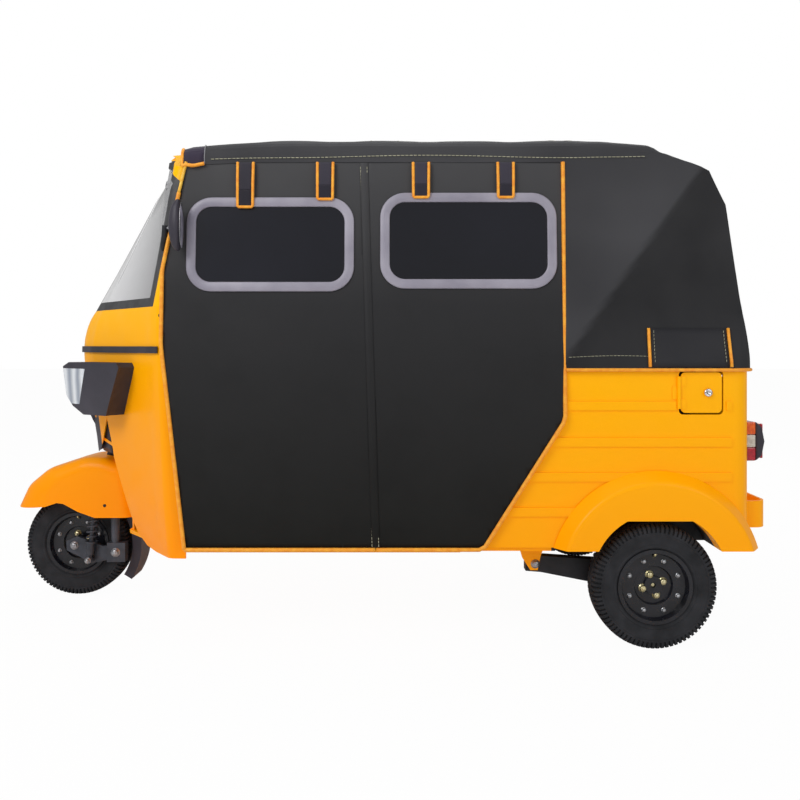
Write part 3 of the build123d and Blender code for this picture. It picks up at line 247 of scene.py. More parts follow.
def finish(name, colour, roughness, tones=None, grain=None, wear=None, **sockets):
    """Principled material; sockets are given by name with _ for spaces."""
    material = bpy.data.materials.new(name)
    material.use_nodes = True
    shader_input(material, "Base Color").default_value = linear(colour)
    shader_input(material, "Roughness").default_value = roughness
    for socket, value in sockets.items():
        shader_input(material, socket.replace("_", " ")).default_value = value
    if tones:
        mottle(material, *tones)
    if grain:
        bumps(material, grain)
    if wear:
        worn_roughness(material, *wear)
    return material


def cloth_finish(name, low, high, sheen):
    """Coated canvas: broad tonal drift, a fine weave and soft slack."""
    weave, slackness = (900, 0.25, 0.0004), (7, 0.25, 0.004, (1, 1, 0.4))
    return finish(name, low, 0.62, (low, high, 2.2, 2.0), [weave, slackness], (0.52, 0.72, 5),
                  Sheen_Weight=sheen, Sheen_Roughness=0.5, Specular_IOR_Level=0.2)


def enamel(name, low, middle, high):
    """Deep yellow enamel with a faint painted glow, and painted shade that makes it darker and more orange
    towards the sills.
    """
    # painted glow: the orange emission lightens the paint in light and shade alike
    paint = finish(name, middle, 0.34, None, [(260, 0.05, 0.0003), (9, 0.12, 0.002)], (0.28, 0.42, 14),
                   Coat_Weight=0.05, Coat_Roughness=0.15, Specular_IOR_Level=0.12,
                   Emission_Strength=0.09, Emission_Color=linear("FFA800"))
    # painted shade: darker and more orange low down, lighter higher up
    grade(paint, 2, 0.25, 1.15, ((0, low), (0.6, middle), (1, high)))
    return paint


PAINT = enamel("yellow_enamel", "FFA200", "FFB300", "FFC000")
# copy of the same enamel for the front parts, with deeper painted shade low down
SHADED_FRONT_PAINT = enamel("yellow_enamel_front", "FF9000", "FFA600", "FFBC00")
CANVAS = cloth_finish("hood_canvas_black", "26262A", "333336", 0.0)
CURTAIN = cloth_finish("curtain_black", "1B1B1D", "252527", 0.0)
# painted light: darker towards the hem as painted shade, lighter towards the eaves as a painted highlight
grade(CURTAIN, 2, 0.33, 1.55, ((0, "131311"), (0.62, "29292B"), (1, "454547")))
HOOD_CLOTH = cloth_finish("hood_cloth_black", "323235", "444447", 0.0)
STRAP = cloth_finish("strap_black", "2C2A33", "3B3844", 0.15)
TAB = cloth_finish("strap_tab", "201E27", "2A2833", 0.1)
FLAP = cloth_finish("flap_purple_black", "2A2433", "3A3246", 0.15)
PIPING = finish("orange_piping", "FFA318", 0.5, ("F2900C", "FFB42E", 60), [(500, 0.3, 0.0005)],
                Sheen_Weight=0.1)
PALE_PIPING = finish("yellow_piping", "F5C33A", 0.5, ("E9A82A", "FFD455", 50))
THREAD = finish("cream_thread", "A8A68C", 0.8, ("8C8A74", "C0BEA4", 200))
WELT = finish("grey_welt", "7C7C80", 0.6)
SILVER = finish("silver_vinyl", "8C8894", 0.42, ("7C7887", "A29EAB", 6, 5.0), [(420, 0.2, 0.0004)],
                Specular_IOR_Level=0.6)
PANE = finish("dark_pane", "0E0F17", 0.16, ("0B0C14", "151620", 1.6), [(3.0, 0.3, 0.01)],
              Specular_IOR_Level=0.5)
# white glass whose colour is a painted reflection
SCREEN = finish("windscreen_sheen", "E4E4E4", 0.12, Coat_Weight=0.4)
RUBBER = finish("gasket_rubber", "3B3B3D", 0.55, ("333335", "454547", 30), [(300, 0.2, 0.0004)])
BLACK = finish("black_plastic", "35333A", 0.46, ("302E36", "3F3C46", 8), [(700, 0.22, 0.0003)],
               Specular_IOR_Level=0.3)
TYRE = finish("tyre_rubber", "242528", 0.78, ("1E1F22", "303135", 22), [(350, 0.35, 0.0006)],
              Specular_IOR_Level=0.25)
RIM = finish("rim_enamel", "101116", 0.3, ("0D0E13", "1B1C24", 18), None, (0.22, 0.45, 40),
             Coat_Weight=0.2, Specular_IOR_Level=0.35)
CHASSIS = finish("chassis_black", "1C1D21", 0.5, ("17181B", "2A2B30", 16), [(180, 0.25, 0.0006)],
                 Specular_IOR_Level=0.3)
STEEL_GREY = finish("suspension_grey", "3B3E46", 0.42, ("2E3138", "4A4D56", 24), [(240, 0.25, 0.0005)],
                    Metallic=0.3)
ALLOY = finish("cast_alloy", "8A8A88", 0.5, ("6E6E6C", "9C9C9A", 14), [(220, 0.4, 0.001)], Metallic=0.8)
CHROME = finish("chrome", "D8D8DC", 0.16, ("C4C4CA", "E2E2E6", 30), Metallic=1.0)
BRASS = finish("passivated_zinc", "D8CFA0", 0.32, ("BFB27E", "E6DEB8", 60), Metallic=0.85)
ZINC = finish("zinc", "A9ABAE", 0.35, ("8C8E92", "BEC0C4", 70), Metallic=0.9)
LEATHER = finish("seat_vinyl", "232226", 0.55, ("1D1C20", "2C2A30", 12),
                 [(420, 0.4, 0.0008), (12, 0.3, 0.004)])
CLEAR_LENS = finish("clear_lens", "C9D0DA", 0.08, Coat_Weight=0.6)
AMBER = finish("amber_lens", "E4560C", 0.14, ("CC4408", "F0701A", 90), Coat_Weight=0.6)
RED = finish("red_lens", "A80E22", 0.14, ("8E0A1C", "C21A2E", 90), Coat_Weight=0.6)
FROST = finish("frosted_lens", "C8C2B4", 0.2, ("B4AEA2", "DAD5CA", 90), Coat_Weight=0.6)
# painted shade: dark discs stand for the shade inside holes and slots
HOLE_SHADE = finish("painted_hole_shade", "0B0B0D", 0.6, ("08080A", "121214", 40))


def painted_shade_by_vertex(material):
    """Multiplies a material's colour by the painted shade kept in the mesh's tone attribute."""
    tree = material.node_tree
    base = shader_input(material, "Base Color")
    before = base.links[0].from_socket
    tone = add_node(tree, "VertexColor", layer_name="tone")
    mix = add_node(tree, "Mix", {"Factor": 1}, data_type="RGBA", blend_type="MULTIPLY")
    connect(tree, (before, mix.inputs["A"]), (tone.outputs["Color"], mix.inputs["B"]),
            (mix.outputs["Result"], base))


def windscreen_painted_reflection():
    """Glass with a painted reflection, white at the nose and greyer towards the pillars, and painted shade
    where seen edge-on.
    """
    ramp = grade(SCREEN, 1, -0.56, 0.56, ((0, "8E8E90"), (0.24, "D6D6D8"), (0.5, "FFFFFF"),
                                          (0.76, "D6D6D8"), (1, "8E8E90")))
    tree = SCREEN.node_tree
    facing = add_node(tree, "LayerWeight", {"Blend": 0.5})
    edge = add_node(tree, "MapRange", {"From Min": 0.88, "From Max": 0.97})
    # painted shade where the glass is seen edge-on
    mix = add_node(tree, "Mix", {"B": linear("3A3A3C")}, data_type="RGBA")
    connect(tree, (facing.outputs["Facing"], edge.inputs["Value"]), (edge.outputs[0], mix.inputs["Factor"]),
            (ramp.outputs["Color"], mix.inputs["A"]),
            (mix.outputs["Result"], shader_input(SCREEN, "Base Color")))


def lens_flutes_with_painted_glints():
    """Upright flutes across a clear lens, with painted highlights and painted shade in bands along them."""
    tree = CLEAR_LENS.node_tree
    place = add_node(tree, "TexCoord")
    wave = add_node(tree, "TexWave", {"Scale": 7, "Distortion": 1.5}, bands_direction="X")
    # painted highlights and painted shade: light and dark bands follow the flutes
    ramp = ramp_node(tree, ((0, "9AA2B0"), (1, "E9EDF2")))
    bump = add_node(tree, "Bump", {"Strength": 0.6, "Distance": 0.004})
    connect(tree, (place.outputs["Object"], wave.inputs["Vector"]),
            (wave.outputs["Fac"], ramp.inputs["Fac"]),
            (ramp.outputs["Color"], shader_input(CLEAR_LENS, "Base Color")),
            (wave.outputs["Fac"], bump.inputs["Height"]),
            (bump.outputs["Normal"], shader_input(CLEAR_LENS, "Normal")))


painted_shade_by_vertex(HOOD_CLOTH)
windscreen_painted_reflection()
lens_flutes_with_painted_glints()

NODE_FINISHES = {
    PAINT: ("side_panel_left", "side_panel_right", "rear_fenders", "rear_panel", "engine_lid",
            "access_flap", "rear_bumper", "floor_pan"),
    BLACK: ("splash_guard",),
    PANE: ("window_panes",),
    RIM: ("front_rim", "rear_left_rim", "rear_right_rim"),
    CHASSIS: ("inner_arches", "engine_deck", "door_posts", "driver_seat_box", "trailing_arms",
              "drive_shafts", "rear_dampers"),
    STEEL_GREY: ("fork_leg", "front_link", "front_damper", "exhaust"),
    ALLOY: ("engine_block",),
}
for material, names in NODE_FINISHES.items():
    for name in names:
        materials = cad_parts[name].data.materials
        materials.clear()
        materials.append(material)


# ---------------------------------------------------------------- mesh helpers
def piece(name, bm, material, body="root", stands_for=(), smooth=True, fix_normals=True):
    """Turns a bmesh into a named piece that rides on a body."""
    mesh = bpy.data.meshes.new(name)
    if fix_normals:
        bmesh.ops.recalc_face_normals(bm, faces=bm.faces)
    bm.to_mesh(mesh)
    bm.free()
    for polygon in mesh.polygons:
        polygon.use_smooth = smooth
    mesh.materials.append(material)
    thing = new_object(name, mesh)
    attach(thing, body)
    if stands_for:
        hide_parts(*stands_for)
    return thing


def apply_modifiers(thing):
    """Bakes the modifiers of a piece into its mesh."""
    graph = bpy.context.evaluated_depsgraph_get()
    mesh = bpy.data.meshes.new_from_object(thing.evaluated_get(graph))
    thing.modifiers.clear()
    thing.data = mesh


def thicken(thing, thickness):
    """Gives a sheet its thickness, inwards from its outer face."""
    solid = thing.modifiers.new("solid", "SOLIDIFY")
    solid.thickness = thickness
    solid.offset = -1
    apply_modifiers(thing)


def bevelled(thing, width, segments=2):
    """Rounds the sharp edges of a piece."""
    bevel = thing.modifiers.new("bevel", "BEVEL")
    bevel.width = width
    bevel.segments = segments
    bevel.limit_method = "ANGLE"
    apply_modifiers(thing)


def skin(bm, rows, around=False, closed=False):
    """Faces between rows of vertices; around closes each row, closed joins the last row to the first."""
    for one, two in zip(rows, rows[1:] + rows[:1] if closed else rows[1:]):
        for k in range(len(one) if around else len(one) - 1):
            j = (k + 1) % len(one)
            bm.faces.new((one[k], one[j], two[j], two[k]))


def skin_with_ends(bm, rings):
    """Faces between rings of vertices, with both ends closed."""
    skin(bm, rings, around=True)
    bm.faces.new(list(reversed(rings[0])))
    bm.faces.new(rings[-1])


def ring(bm, centre, across, up, radius, sides):
    """Circle of vertices in the plane of two directions."""
    turn = 2 * math.pi / sides
    return [bm.verts.new(centre + radius * (across * math.cos(k * turn) + up * math.sin(k * turn)))
            for k in range(sides)]


def add_tube(bm, points, radius, sides=8):
    """Round tube with closed ends along a path in metres, turned as little as possible."""
    rings, across = [], None
    for i, point in enumerate(points):
        ahead = (points[min(i + 1, len(points) - 1)] - points[max(i - 1, 0)]).normalized()
        guess = across if across else ahead.orthogonal()
        across = (guess - ahead * guess.dot(ahead)).normalized()
        rings.append(ring(bm, point, across, ahead.cross(across), radius, sides))
    skin_with_ends(bm, rings)


def add_turned(bm, centre, axis, outline, sides=24):
    """Body of revolution from (distance along the axis, radius) points, closed at both ends."""
    axis = axis.normalized()
    across = axis.orthogonal().normalized()
    skin_with_ends(bm, [ring(bm, centre + axis * along, across, axis.cross(across), radius, sides)
                        for along, radius in outline])


def add_nut(bm, centre, axis, radius, height, sides=6):
    """Nut on a washer with a bolt end in it."""
    add_turned(bm, centre, axis, [(-0.001, radius * 1.35), (0.0012, radius * 1.35)], 16)
    add_turned(bm, centre + axis * 0.001, axis,
               [(0, radius), (height * 0.8, radius), (height, radius * 0.82)], sides)
    add_turned(bm, centre + axis * height * 0.9, axis,
               [(0, radius * 0.5), (height * 0.3, radius * 0.5), (height * 0.4, radius * 0.35)], 10)


def add_box(bm, low, high):
    """Plain box between two corners."""
    low, high = Vector(low), Vector(high)
    for vert in bmesh.ops.create_cube(bm, size=1)["verts"]:
        vert.co = Vector(((low[i] + high[i]) / 2 + vert.co[i] * (high[i] - low[i]) for i in range(3)))


def spread(points, step):
    """Points along straight runs, no further than step apart."""
    out = [Vector(points[0])]
    for a, b in zip(points, points[1:]):
        a, b = Vector(a), Vector(b)
        count = max(1, math.ceil((b - a).length / step))
        out += [a.lerp(b, (i + 1) / count) for i in range(count)]
    return out


def rounded(points, passes=2):
    """Path with its corners cut off, as cloth edging turns them."""
    for _ in range(passes):
        cut = [points[0]]
        for a, b in zip(points, points[1:]):
            cut += [a.lerp(b, 0.25), a.lerp(b, 0.75)]
        points = cut + [points[-1]]
    return points


def path_length(points):
    """Length of a path of points."""
    return sum(math.dist(a, b) for a, b in zip(points, points[1:]))


def surface_of(name):
    """Search tree of a CAD node's faces."""
    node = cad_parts[name]
    return BVHTree.FromPolygons([node.matrix_world @ v.co for v in node.data.vertices],
                                [p.vertices[:] for p in node.data.polygons])


def hit(tree, origin, direction):
    """Where a ray meets a surface, and its normal there."""
    return tree.ray_cast(Vector(origin), Vector(direction))[:2]


# ---------------------------------------------------------------- the cloth's shape
HEM_LOW = 0.314
BELT_Z = 0.900
EAVES_Z = 1.545
CLOTH_HALF = 0.6093
EAVES_HALF = 0.5693
LEAN = (CLOTH_HALF - EAVES_HALF) / (EAVES_Z - BELT_Z)
SHOULDER_Z = 1.609
CROWN_Z = 1.699
CROWN_R = 1.801
HOOD_HEM = 0.881
QUARTER_X = 0.662
REAR_ROUND = (1.1993, 0.5433, 0.066)     # x and half width where the rear corner starts, its radius


def cloth_y(z):
    """Distance of the cloth's outer face from the middle at height z."""
    return CLOTH_HALF - max(0.0, z - BELT_Z) * LEAN


def on_wall(sign, x, z, out=0.0):
    """Point on a curtain wall, some way out from the cloth."""
    return Vector((x, sign * (cloth_y(z) + out), z))


def slack(x, z, sign, depth):
    """Gentle unevenness of hanging cloth."""
    flow = noise.noise(Vector((x * 2.3, z * 1.1 + sign * 5, 3.1)))
    fine = noise.noise(Vector((x * 7.0, z * 2.4, 9.7 + sign)))
    return depth * (0.75 * flow + 0.25 * fine)


def rounded_rectangle(x, z, width, height, radius, steps=8):
    """Anticlockwise outline of a rounded rectangle in XZ."""
    wide, tall = width / 2 - radius, height / 2 - radius
    outline = []
    for quarter, (right, up) in enumerate(((1, 1), (-1, 1), (-1, -1), (1, -1))):
        for k in range(steps + 1):
            turn = math.radians(90 * quarter + 90 * k / steps)
            outline.append((x + right * wide + radius * math.cos(turn),
                            z + up * tall + radius * math.sin(turn)))
    return outline


def edge_planes(outline, across):
    """(point, outward normal) of each edge of a convex outline seen along axis 0 or 1."""
    def spot(u, v):
        """Point of the outline in space."""
        return Vector((0, u, v)) if across == 0 else Vector((u, 0, v))
    sight = Vector((1, 0, 0)) if across == 0 else Vector((0, 1, 0))
    middle = spot(sum(p[0] for p in outline) / len(outline), sum(p[1] for p in outline) / len(outline))
    for a, b in zip(outline, outline[1:] + outline[:1]):
        start, end = spot(*a), spot(*b)
        if (end - start).length > 1e-6:
            out = (end - start).cross(sight).normalized()
            yield start, -out if (middle - start).dot(out) > 0 else out


def cut_window(bm, outline, across, faces):
    """Cuts a convex outline out of a sheet; across is the axis (0 or 1) the outline is seen along."""
    inside = list(faces)
    for start, out in edge_planes(outline, across):
        edges = {e for f in inside for e in f.edges}
        verts = {v for f in inside for v in f.verts}
        made = bmesh.ops.bisect_plane(bm, geom=list(verts) + list(edges) + inside, plane_co=start,
                                      plane_no=out)
        kept = {g for g in made["geom"] if isinstance(g, bmesh.types.BMFace)}
        inside = [f for f in kept if f.is_valid and (f.calc_center_median() - start).dot(out) < 0]
    bmesh.ops.delete(bm, geom=inside, context="FACES")


# ---------------------------------------------------------------- curtains
WINDOWS = {
    # x, z, width and height of each curtain window's ring
    "front": (-0.274, 1.280, 0.534, 0.302),
    "rear": (0.357, 1.292, 0.563, 0.308),
}
RING_W = 0.031
RING_CORNER = 0.080
RING_SECTION = ((0.0, 0.0003), (0.001, 0.003), (0.004, 0.0045), (RING_W * 0.5, 0.0052),
                (RING_W - 0.004, 0.0045), (RING_W - 0.001, 0.003), (RING_W, 0.0003))   # inset, lift
SEAM_LOW, SEAM_TOP = 0.063, 0.024        # x where the two curtains meet, at the hem and at the eaves
SEAM_HALF = 0.0015
FRONT_EDGE = [(-0.541, HEM_LOW), (-0.616, 0.960), (-0.616, 1.200)]
REAR_EDGE = [(0.401, HEM_LOW), (0.660, 0.723), (0.660, EAVES_Z)]
CURTAIN_EDGES = {
    "front": [FRONT_EDGE[0], (SEAM_LOW - SEAM_HALF, HEM_LOW), (SEAM_TOP - SEAM_HALF, EAVES_Z),
              (-0.545, EAVES_Z), FRONT_EDGE[2], FRONT_EDGE[1]],
    "rear": [(SEAM_LOW + SEAM_HALF, HEM_LOW)] + REAR_EDGE + [(SEAM_TOP + SEAM_HALF, EAVES_Z)],
}
CURTAIN_GRID = 0.024
CURTAIN_T = 0.003
SLACK_DEPTH = 0.0045
EDGE_HOLD, WINDOW_HOLD = 0.12, 0.10      # how far a sewn edge and a ring keep the cloth flat


def cloth_hold(x, z, outline, window):
    """0 at a sewn edge and on the window's ring, 1 well away from both."""
    spot, nearest = Vector((x, z)), 1.0
    for a, b in zip(outline, outline[1:] + outline[:1]):
        start, end = Vector(a), Vector(b)
        along = share((spot - start).dot(end - start), 0, (end - start).length_squared)
        nearest = min(nearest, (spot - start.lerp(end, along)).length)
    wx, wz, width, height = window
    out = max(abs(x - wx) - width / 2, abs(z - wz) - height / 2)
    return share(nearest, 0, EDGE_HOLD) * share(out, 0, WINDOW_HOLD)


def make_curtain(place, side, sign):
    """One curtain: a taut sheet sewn at its edges, with its window cut out."""
    outline, window = CURTAIN_EDGES[place], WINDOWS[place]
    x, z, width, height = window
    left, right = min(p[0] for p in outline), max(p[0] for p in outline)
    columns = math.ceil((right - left) / CURTAIN_GRID)
    rows = math.ceil((EAVES_Z - HEM_LOW) / CURTAIN_GRID)
    bm = bmesh.new()
    skin(bm, [[bm.verts.new((left + i * CURTAIN_GRID, 0, HEM_LOW + j * CURTAIN_GRID))
               for j in range(rows + 1)] for i in range(columns + 1)])
    for start, out in edge_planes(outline, 1):
        bmesh.ops.bisect_plane(bm, geom=bm.verts[:] + bm.edges[:] + bm.faces[:], plane_co=start,
                               plane_no=out, clear_outer=True)
    cut_window(bm, rounded_rectangle(x, z, width - 2 * RING_W, height - 2 * RING_W, RING_CORNER - RING_W),
               1, bm.faces)
    area = sum(face.calc_area() for face in bm.faces)
    for vert in bm.verts:
        x, z = vert.co.x, vert.co.z
        give = cloth_hold(x, z, outline, window) * slack(x, z, sign, SLACK_DEPTH)
        vert.co = on_wall(sign, x, z, give - CURTAIN_T / 2)
    curtain = piece(f"{place}_curtain_{side}", bm, CURTAIN,
                    stands_for=(f"{place}_curtains",))
    thicken(curtain, CURTAIN_T)


def make_window_ring(place, side, sign):
    """Welded vinyl ring with rounded edges round a curtain window."""
    x, z, width, height = WINDOWS[place]
    bm = bmesh.new()
    skin(bm, [[bm.verts.new(on_wall(sign, px, pz, lift)) for px, pz in
               rounded_rectangle(x, z, width - 2 * inset, height - 2 * inset, RING_CORNER - inset, 10)]
              for inset, lift in RING_SECTION], around=True, closed=True)
    piece(f"window_ring_{place}_{side}", bm, SILVER, stands_for=("window_rings",))


for make in (make_curtain, make_window_ring):
    for place in CURTAIN_EDGES:
        for side, sign in SIDES:
            make(place, side, sign)

# ---------------------------------------------------------------- hood
HOOD_PROFILE = [
    # x, z of the hood's top line, from its front edge to its rear hem
    (-0.637, 1.660), (-0.602, 1.700), (0.820, 1.700), (0.960, 1.674), (1.040, 1.632), (1.100, 1.588),
    (1.168, 1.512), (1.200, 1.400), (1.265, 0.904), (1.265, HOOD_HEM)]
SHOULDER_PROFILE = [
    # x, z of the shoulders towards the rear, where the cloth falls from bow to bow
    (-0.637, SHOULDER_Z), (0.800, SHOULDER_Z), (0.940, 1.598), (1.127, 1.517), (1.185, 1.408),
    (1.254, 0.944), (1.300, 0.700)]
HOOD_FRONT, HOOD_TOP = HOOD_PROFILE[0][0], HOOD_PROFILE[1][1]
HOOD_STEP = 0.022
CREASE_LOW = Vector((0.672, 0.931))      # fold across the quarter panel
CREASE_HIGH = Vector((1.030, 1.430))
CREASE_SLOPE = 0.10
CREASE_SHADE = 0.42            # how dark the painted shade makes the cloth beyond the fold
FRONT_CURVE = 0.26            # how the front edge draws back towards the shoulders
CURVE_END = 0.2               # x behind which the sections stand straight
HOOD_T = 0.003
BAND_W = 0.060                # dark band sewn along the hood's front edge
BOW_XS = (-0.250, 0.090, 0.370, 0.645, 0.960)
BOW_SAG = 0.007
REAR_PANE = (0, 1.210, 0.560, 0.220, 0.050)
ROWS_WALL, ROWS_EAVES, ROWS_ROOF = 30, 6, 22
FRONT_FALL = 0.020


def crown_height(y):
    """Height of the roof's arch at a distance from the middle."""
    return CROWN_Z - CROWN_R + math.sqrt(CROWN_R ** 2 - y ** 2)


def side_limit(x):
    """Half width of the hood at x, rounded in at the rear corners."""
    start_x, start_y, radius = REAR_ROUND
    if x <= start_x:
        return CLOTH_HALF
    return start_y + math.sqrt(max(0.0, radius ** 2 - (x - start_x) ** 2))


def shoulder_height(x):
    """Height of the hood's shoulder at x."""
    for (x0, z0), (x1, z1) in zip(SHOULDER_PROFILE, SHOULDER_PROFILE[1:]):
        if x <= x1:
            return z0 + (z1 - z0) * (x - x0) / (x1 - x0)
    return SHOULDER_PROFILE[-1][1]


def hood_section(x, top):
    """(y, z) points of half a hood section, from its foot over the shoulder to the middle."""
    foot, knee_z = min(HOOD_HEM, top), min(top, shoulder_height(x))
    eaves = min(EAVES_Z, knee_z)
    heights = [foot + (eaves - foot) * i / ROWS_WALL for i in range(ROWS_WALL)]
    heights += [eaves + (knee_z - eaves) * i / ROWS_EAVES for i in range(ROWS_EAVES + 1)]
    points = [(min(side_limit(x), cloth_y(z)), z) for z in heights]
    knee_y = points.pop()[0]
    for i in range(ROWS_ROOF + 1):
        y = knee_y * (1 - (i / ROWS_ROOF) ** 1.1)
        rise = (crown_height(y) - crown_height(knee_y)) / (CROWN_Z - crown_height(knee_y))
        points.append((y, knee_z + (top - knee_z) * rise))
    return points


def beyond_fold(x, z):
    """Distance past the fold across the quarter panel."""
    along = (CREASE_HIGH - CREASE_LOW).normalized()
    gap = Vector((x, z)) - CREASE_LOW
    return gap.x * along.y - gap.y * along.x


def hood_give(x, y, z):
    """How far the hood's cloth stands out along its section: creases, sag between bows, slack."""
    out = 0.0015 * noise.noise(Vector((x * 3.1, y * 2.7, z * 3.3)))
    if abs(y) > 0.3 and z < EAVES_Z + 0.05 and x > QUARTER_X:
        beyond = beyond_fold(x, z)
        hold = share(z, HOOD_HEM + 0.02, HOOD_HEM + 0.18) * share(x, 1.27, 1.23)
        out -= CREASE_SLOPE * max(0.0, beyond) * hold
        out += 0.006 * math.exp(-(beyond / 0.05) ** 2) * hold
        fold = 0.004 * math.sin((x * 0.8 - z * 0.35) * 22) * hold * (1 if beyond < 0 else 0.4)
        out += fold * share(x, QUARTER_X, QUARTER_X + 0.1)
    if z > SHOULDER_Z - 0.03 and x < 1.0:
        nearest = min(abs(x - bow) for bow in BOW_XS)
        out -= BOW_SAG * share(nearest, 0, 0.12) ** 2 * (1 - (y / 0.6) ** 2)
        out += 0.001 * noise.noise(Vector((x * 9, y * 5, 1.7)))
    return out


def fold_shade(x, y, z):
    """1 on the lit cloth, lower where painted shade darkens the cloth beyond the fold."""
    if abs(y) <= 0.45 or z >= EAVES_Z + 0.06 or x <= QUARTER_X:
        return 1.0
    beyond = beyond_fold(x, z)
    return 1 - (1 - CREASE_SHADE) * share(beyond, -0.006, 0.008) * (1 - 0.25 * share(beyond, 0, 0.3))


def front_fall(x, z):
    """How much the roof's front falls towards the windscreen."""
    return FRONT_FALL * share(x, -0.20, -0.56) ** 2 * share(z, 1.48, 1.58)


def hood_stations():
    """(x, top) of every station from the front edge to the rear hem."""
    stations = [HOOD_PROFILE[-1], (QUARTER_X, HOOD_TOP)]
    for a, b in zip(HOOD_PROFILE, HOOD_PROFILE[1:]):
        count = max(1, math.ceil(math.dist(a, b) / HOOD_STEP))
        stations += [(a[0] + (b[0] - a[0]) * i / count, a[1] + (b[1] - a[1]) * i / count)
                     for i in range(count)]
    return sorted(set(stations), key=lambda s: (s[0], -s[1]))


def round_shoulder(points):
    """Softens the shoulder of a half section."""
    knee = ROWS_WALL + ROWS_EAVES
    for _ in range(3):
        soft = list(points)
        for i in range(max(1, knee - 4), min(len(points) - 1, knee + 5)):
            soft[i] = tuple((points[i - 1][k] + 2 * points[i][k] + points[i + 1][k]) / 4 for k in (0, 1))
        points = soft
    return points


def hood_row(bm, x, top):
    """Vertices across the hood at one station."""
    half = round_shoulder(hood_section(x, top))
    row = []
    for y, z in [(-y, z) for y, z in half] + [(y, z) for y, z in reversed(half[:-1])]:
        start = HOOD_FRONT + FRONT_CURVE * min(abs(y), 0.55) ** 2
        shown_x = x
        if x < CURVE_END:
            shown_x = start + (x - HOOD_FRONT) * (CURVE_END - start) / (CURVE_END - HOOD_FRONT)
        out = Vector((0, math.copysign(1, y), 0)) if z < SHOULDER_Z - 0.03 else Vector((0, 0, 1))
        spot = Vector((shown_x, y, z - front_fall(shown_x, z)))
        row.append(bm.verts.new(spot + out * hood_give(x, y, z)))
    return row


def make_hood():
    """The hood: one sheet over roof, shoulders, quarter panels and back."""
    bm = bmesh.new()
    grid = [(x, hood_row(bm, x, top)) for x, top in hood_stations()]
    band_end = HOOD_FRONT + BAND_W - 0.001
    band_row = next(row for x, row in grid if x >= band_end)
    front_edge = [v.co.copy() for v in grid[0][1] if v.co.z > EAVES_Z - 0.03]
    band_edge = [v.co.copy() for v in band_row if v.co.z > EAVES_Z - 0.02]
    last = len(band_row) - 1
    for (x, row), (_, after) in zip(grid, grid[1:]):
        for j in range(last):
            if ROWS_WALL <= j < last - ROWS_WALL or x >= QUARTER_X - 0.001:
                face = bm.faces.new((row[j], row[j + 1], after[j + 1], after[j]))
                face.material_index = int(x < band_end)
    bmesh.ops.delete(bm, geom=[v for v in bm.verts if not v.link_faces], context="VERTS")
    bmesh.ops.remove_doubles(bm, verts=bm.verts, dist=0.0004)
    bmesh.ops.dissolve_degenerate(bm, edges=bm.edges, dist=0.0004)
    bmesh.ops.recalc_face_normals(bm, faces=bm.faces)
    if max(bm.faces, key=lambda f: f.calc_center_median().z).normal.z < 0:
        bmesh.ops.reverse_faces(bm, faces=bm.faces)
    back = [f for f in bm.faces if f.calc_center_median().x > 1.15 and 1.0 < f.calc_center_median().z < 1.42]
    cut_window(bm, rounded_rectangle(*REAR_PANE), 0, back)
    area = sum(face.calc_area() for face in bm.faces)
    hood = piece("hood", bm, HOOD_CLOTH, stands_for=("hood_canvas",), fix_normals=False)
    hood.data.materials.append(FLAP)
    # painted shade: each point's tone darkens the cloth beyond the quarter panel's fold
    tone = hood.data.color_attributes.new("tone", "FLOAT_COLOR", "POINT")
    for vert in hood.data.vertices:
        tone.data[vert.index].color = (fold_shade(*vert.co),) * 3 + (1,)
    thicken(hood, HOOD_T)
    hood.data.set_sharp_from_angle(angle=math.radians(20))
    2 * path_length(hood_section(0.8, HOOD_TOP))
    return front_edge, band_edge


FRONT_ROW, BAND_ROW = make_hood()


def make_front_edging():
    """Piped front edge of the hood, the welt behind its band, and a hemmed facing at each side."""
    edge, welt = bmesh.new(), bmesh.new()
    add_tube(edge, rounded(FRONT_ROW, 1), 0.0055)
    piece("hood_front_piping", edge, PIPING)
    add_tube(welt, rounded([p + Vector((0, 0, 0.002)) for p in BAND_ROW], 1), 0.0022, 6)
    piece("hood_band_welt", welt, WELT)
    for side, sign in SIDES:
        facing, hem = bmesh.new(), bmesh.new()
        start = sorted((p for p in FRONT_ROW if p.y * sign > 0.5), key=lambda p: p.z)
        skin(facing, [[facing.verts.new(p + Vector((0.004 + 0.0165 * k, sign * 0.0025, -0.001)))
                       for k in range(5)] for p in start])
        wave = [start[0] + Vector((0.018 * k, sign * 0.006, 0.003 * math.sin(2.1 * k) + 0.0012 * k))
                for k in range(5)]
        add_tube(hem, rounded(wave), 0.0058)
        piece(f"hood_facing_hem_{side}", hem, PIPING)
        thicken(piece(f"hood_facing_{side}", facing, FLAP), 0.0015)


make_front_edging()

# ---------------------------------------------------------------- CAD pieces drawn to a rounder plan
PLAN_CUT = 0.025              # spacing of the cuts that let a plain face bend in plan
PLAN_HALF = 0.62              # how far from the middle the cuts go


def shaped_copy(name, material, body, shape):
    """Piece with a CAD node's mesh, each point moved by a function, that stands for the node."""
    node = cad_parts[name]
    bm = bmesh.new()
    bm.from_mesh(node.data)
    bm.transform(node.matrix_world)
    count = int(PLAN_HALF / PLAN_CUT)
    for k in range(-count, count + 1):
        bmesh.ops.bisect_plane(bm, geom=bm.verts[:] + bm.edges[:] + bm.faces[:],
                               plane_co=(0, k * PLAN_CUT, 0), plane_no=(0, 1, 0))
    for vert in bm.verts:
        vert.co = shape(vert.co.copy())
    for face in bm.faces:
        face.material_index = 0
    shaped = piece(f"{name}_shaped", bm, material, body, (name,), fix_normals=False)
    shaped.data.set_sharp_from_angle(angle=math.radians(28))


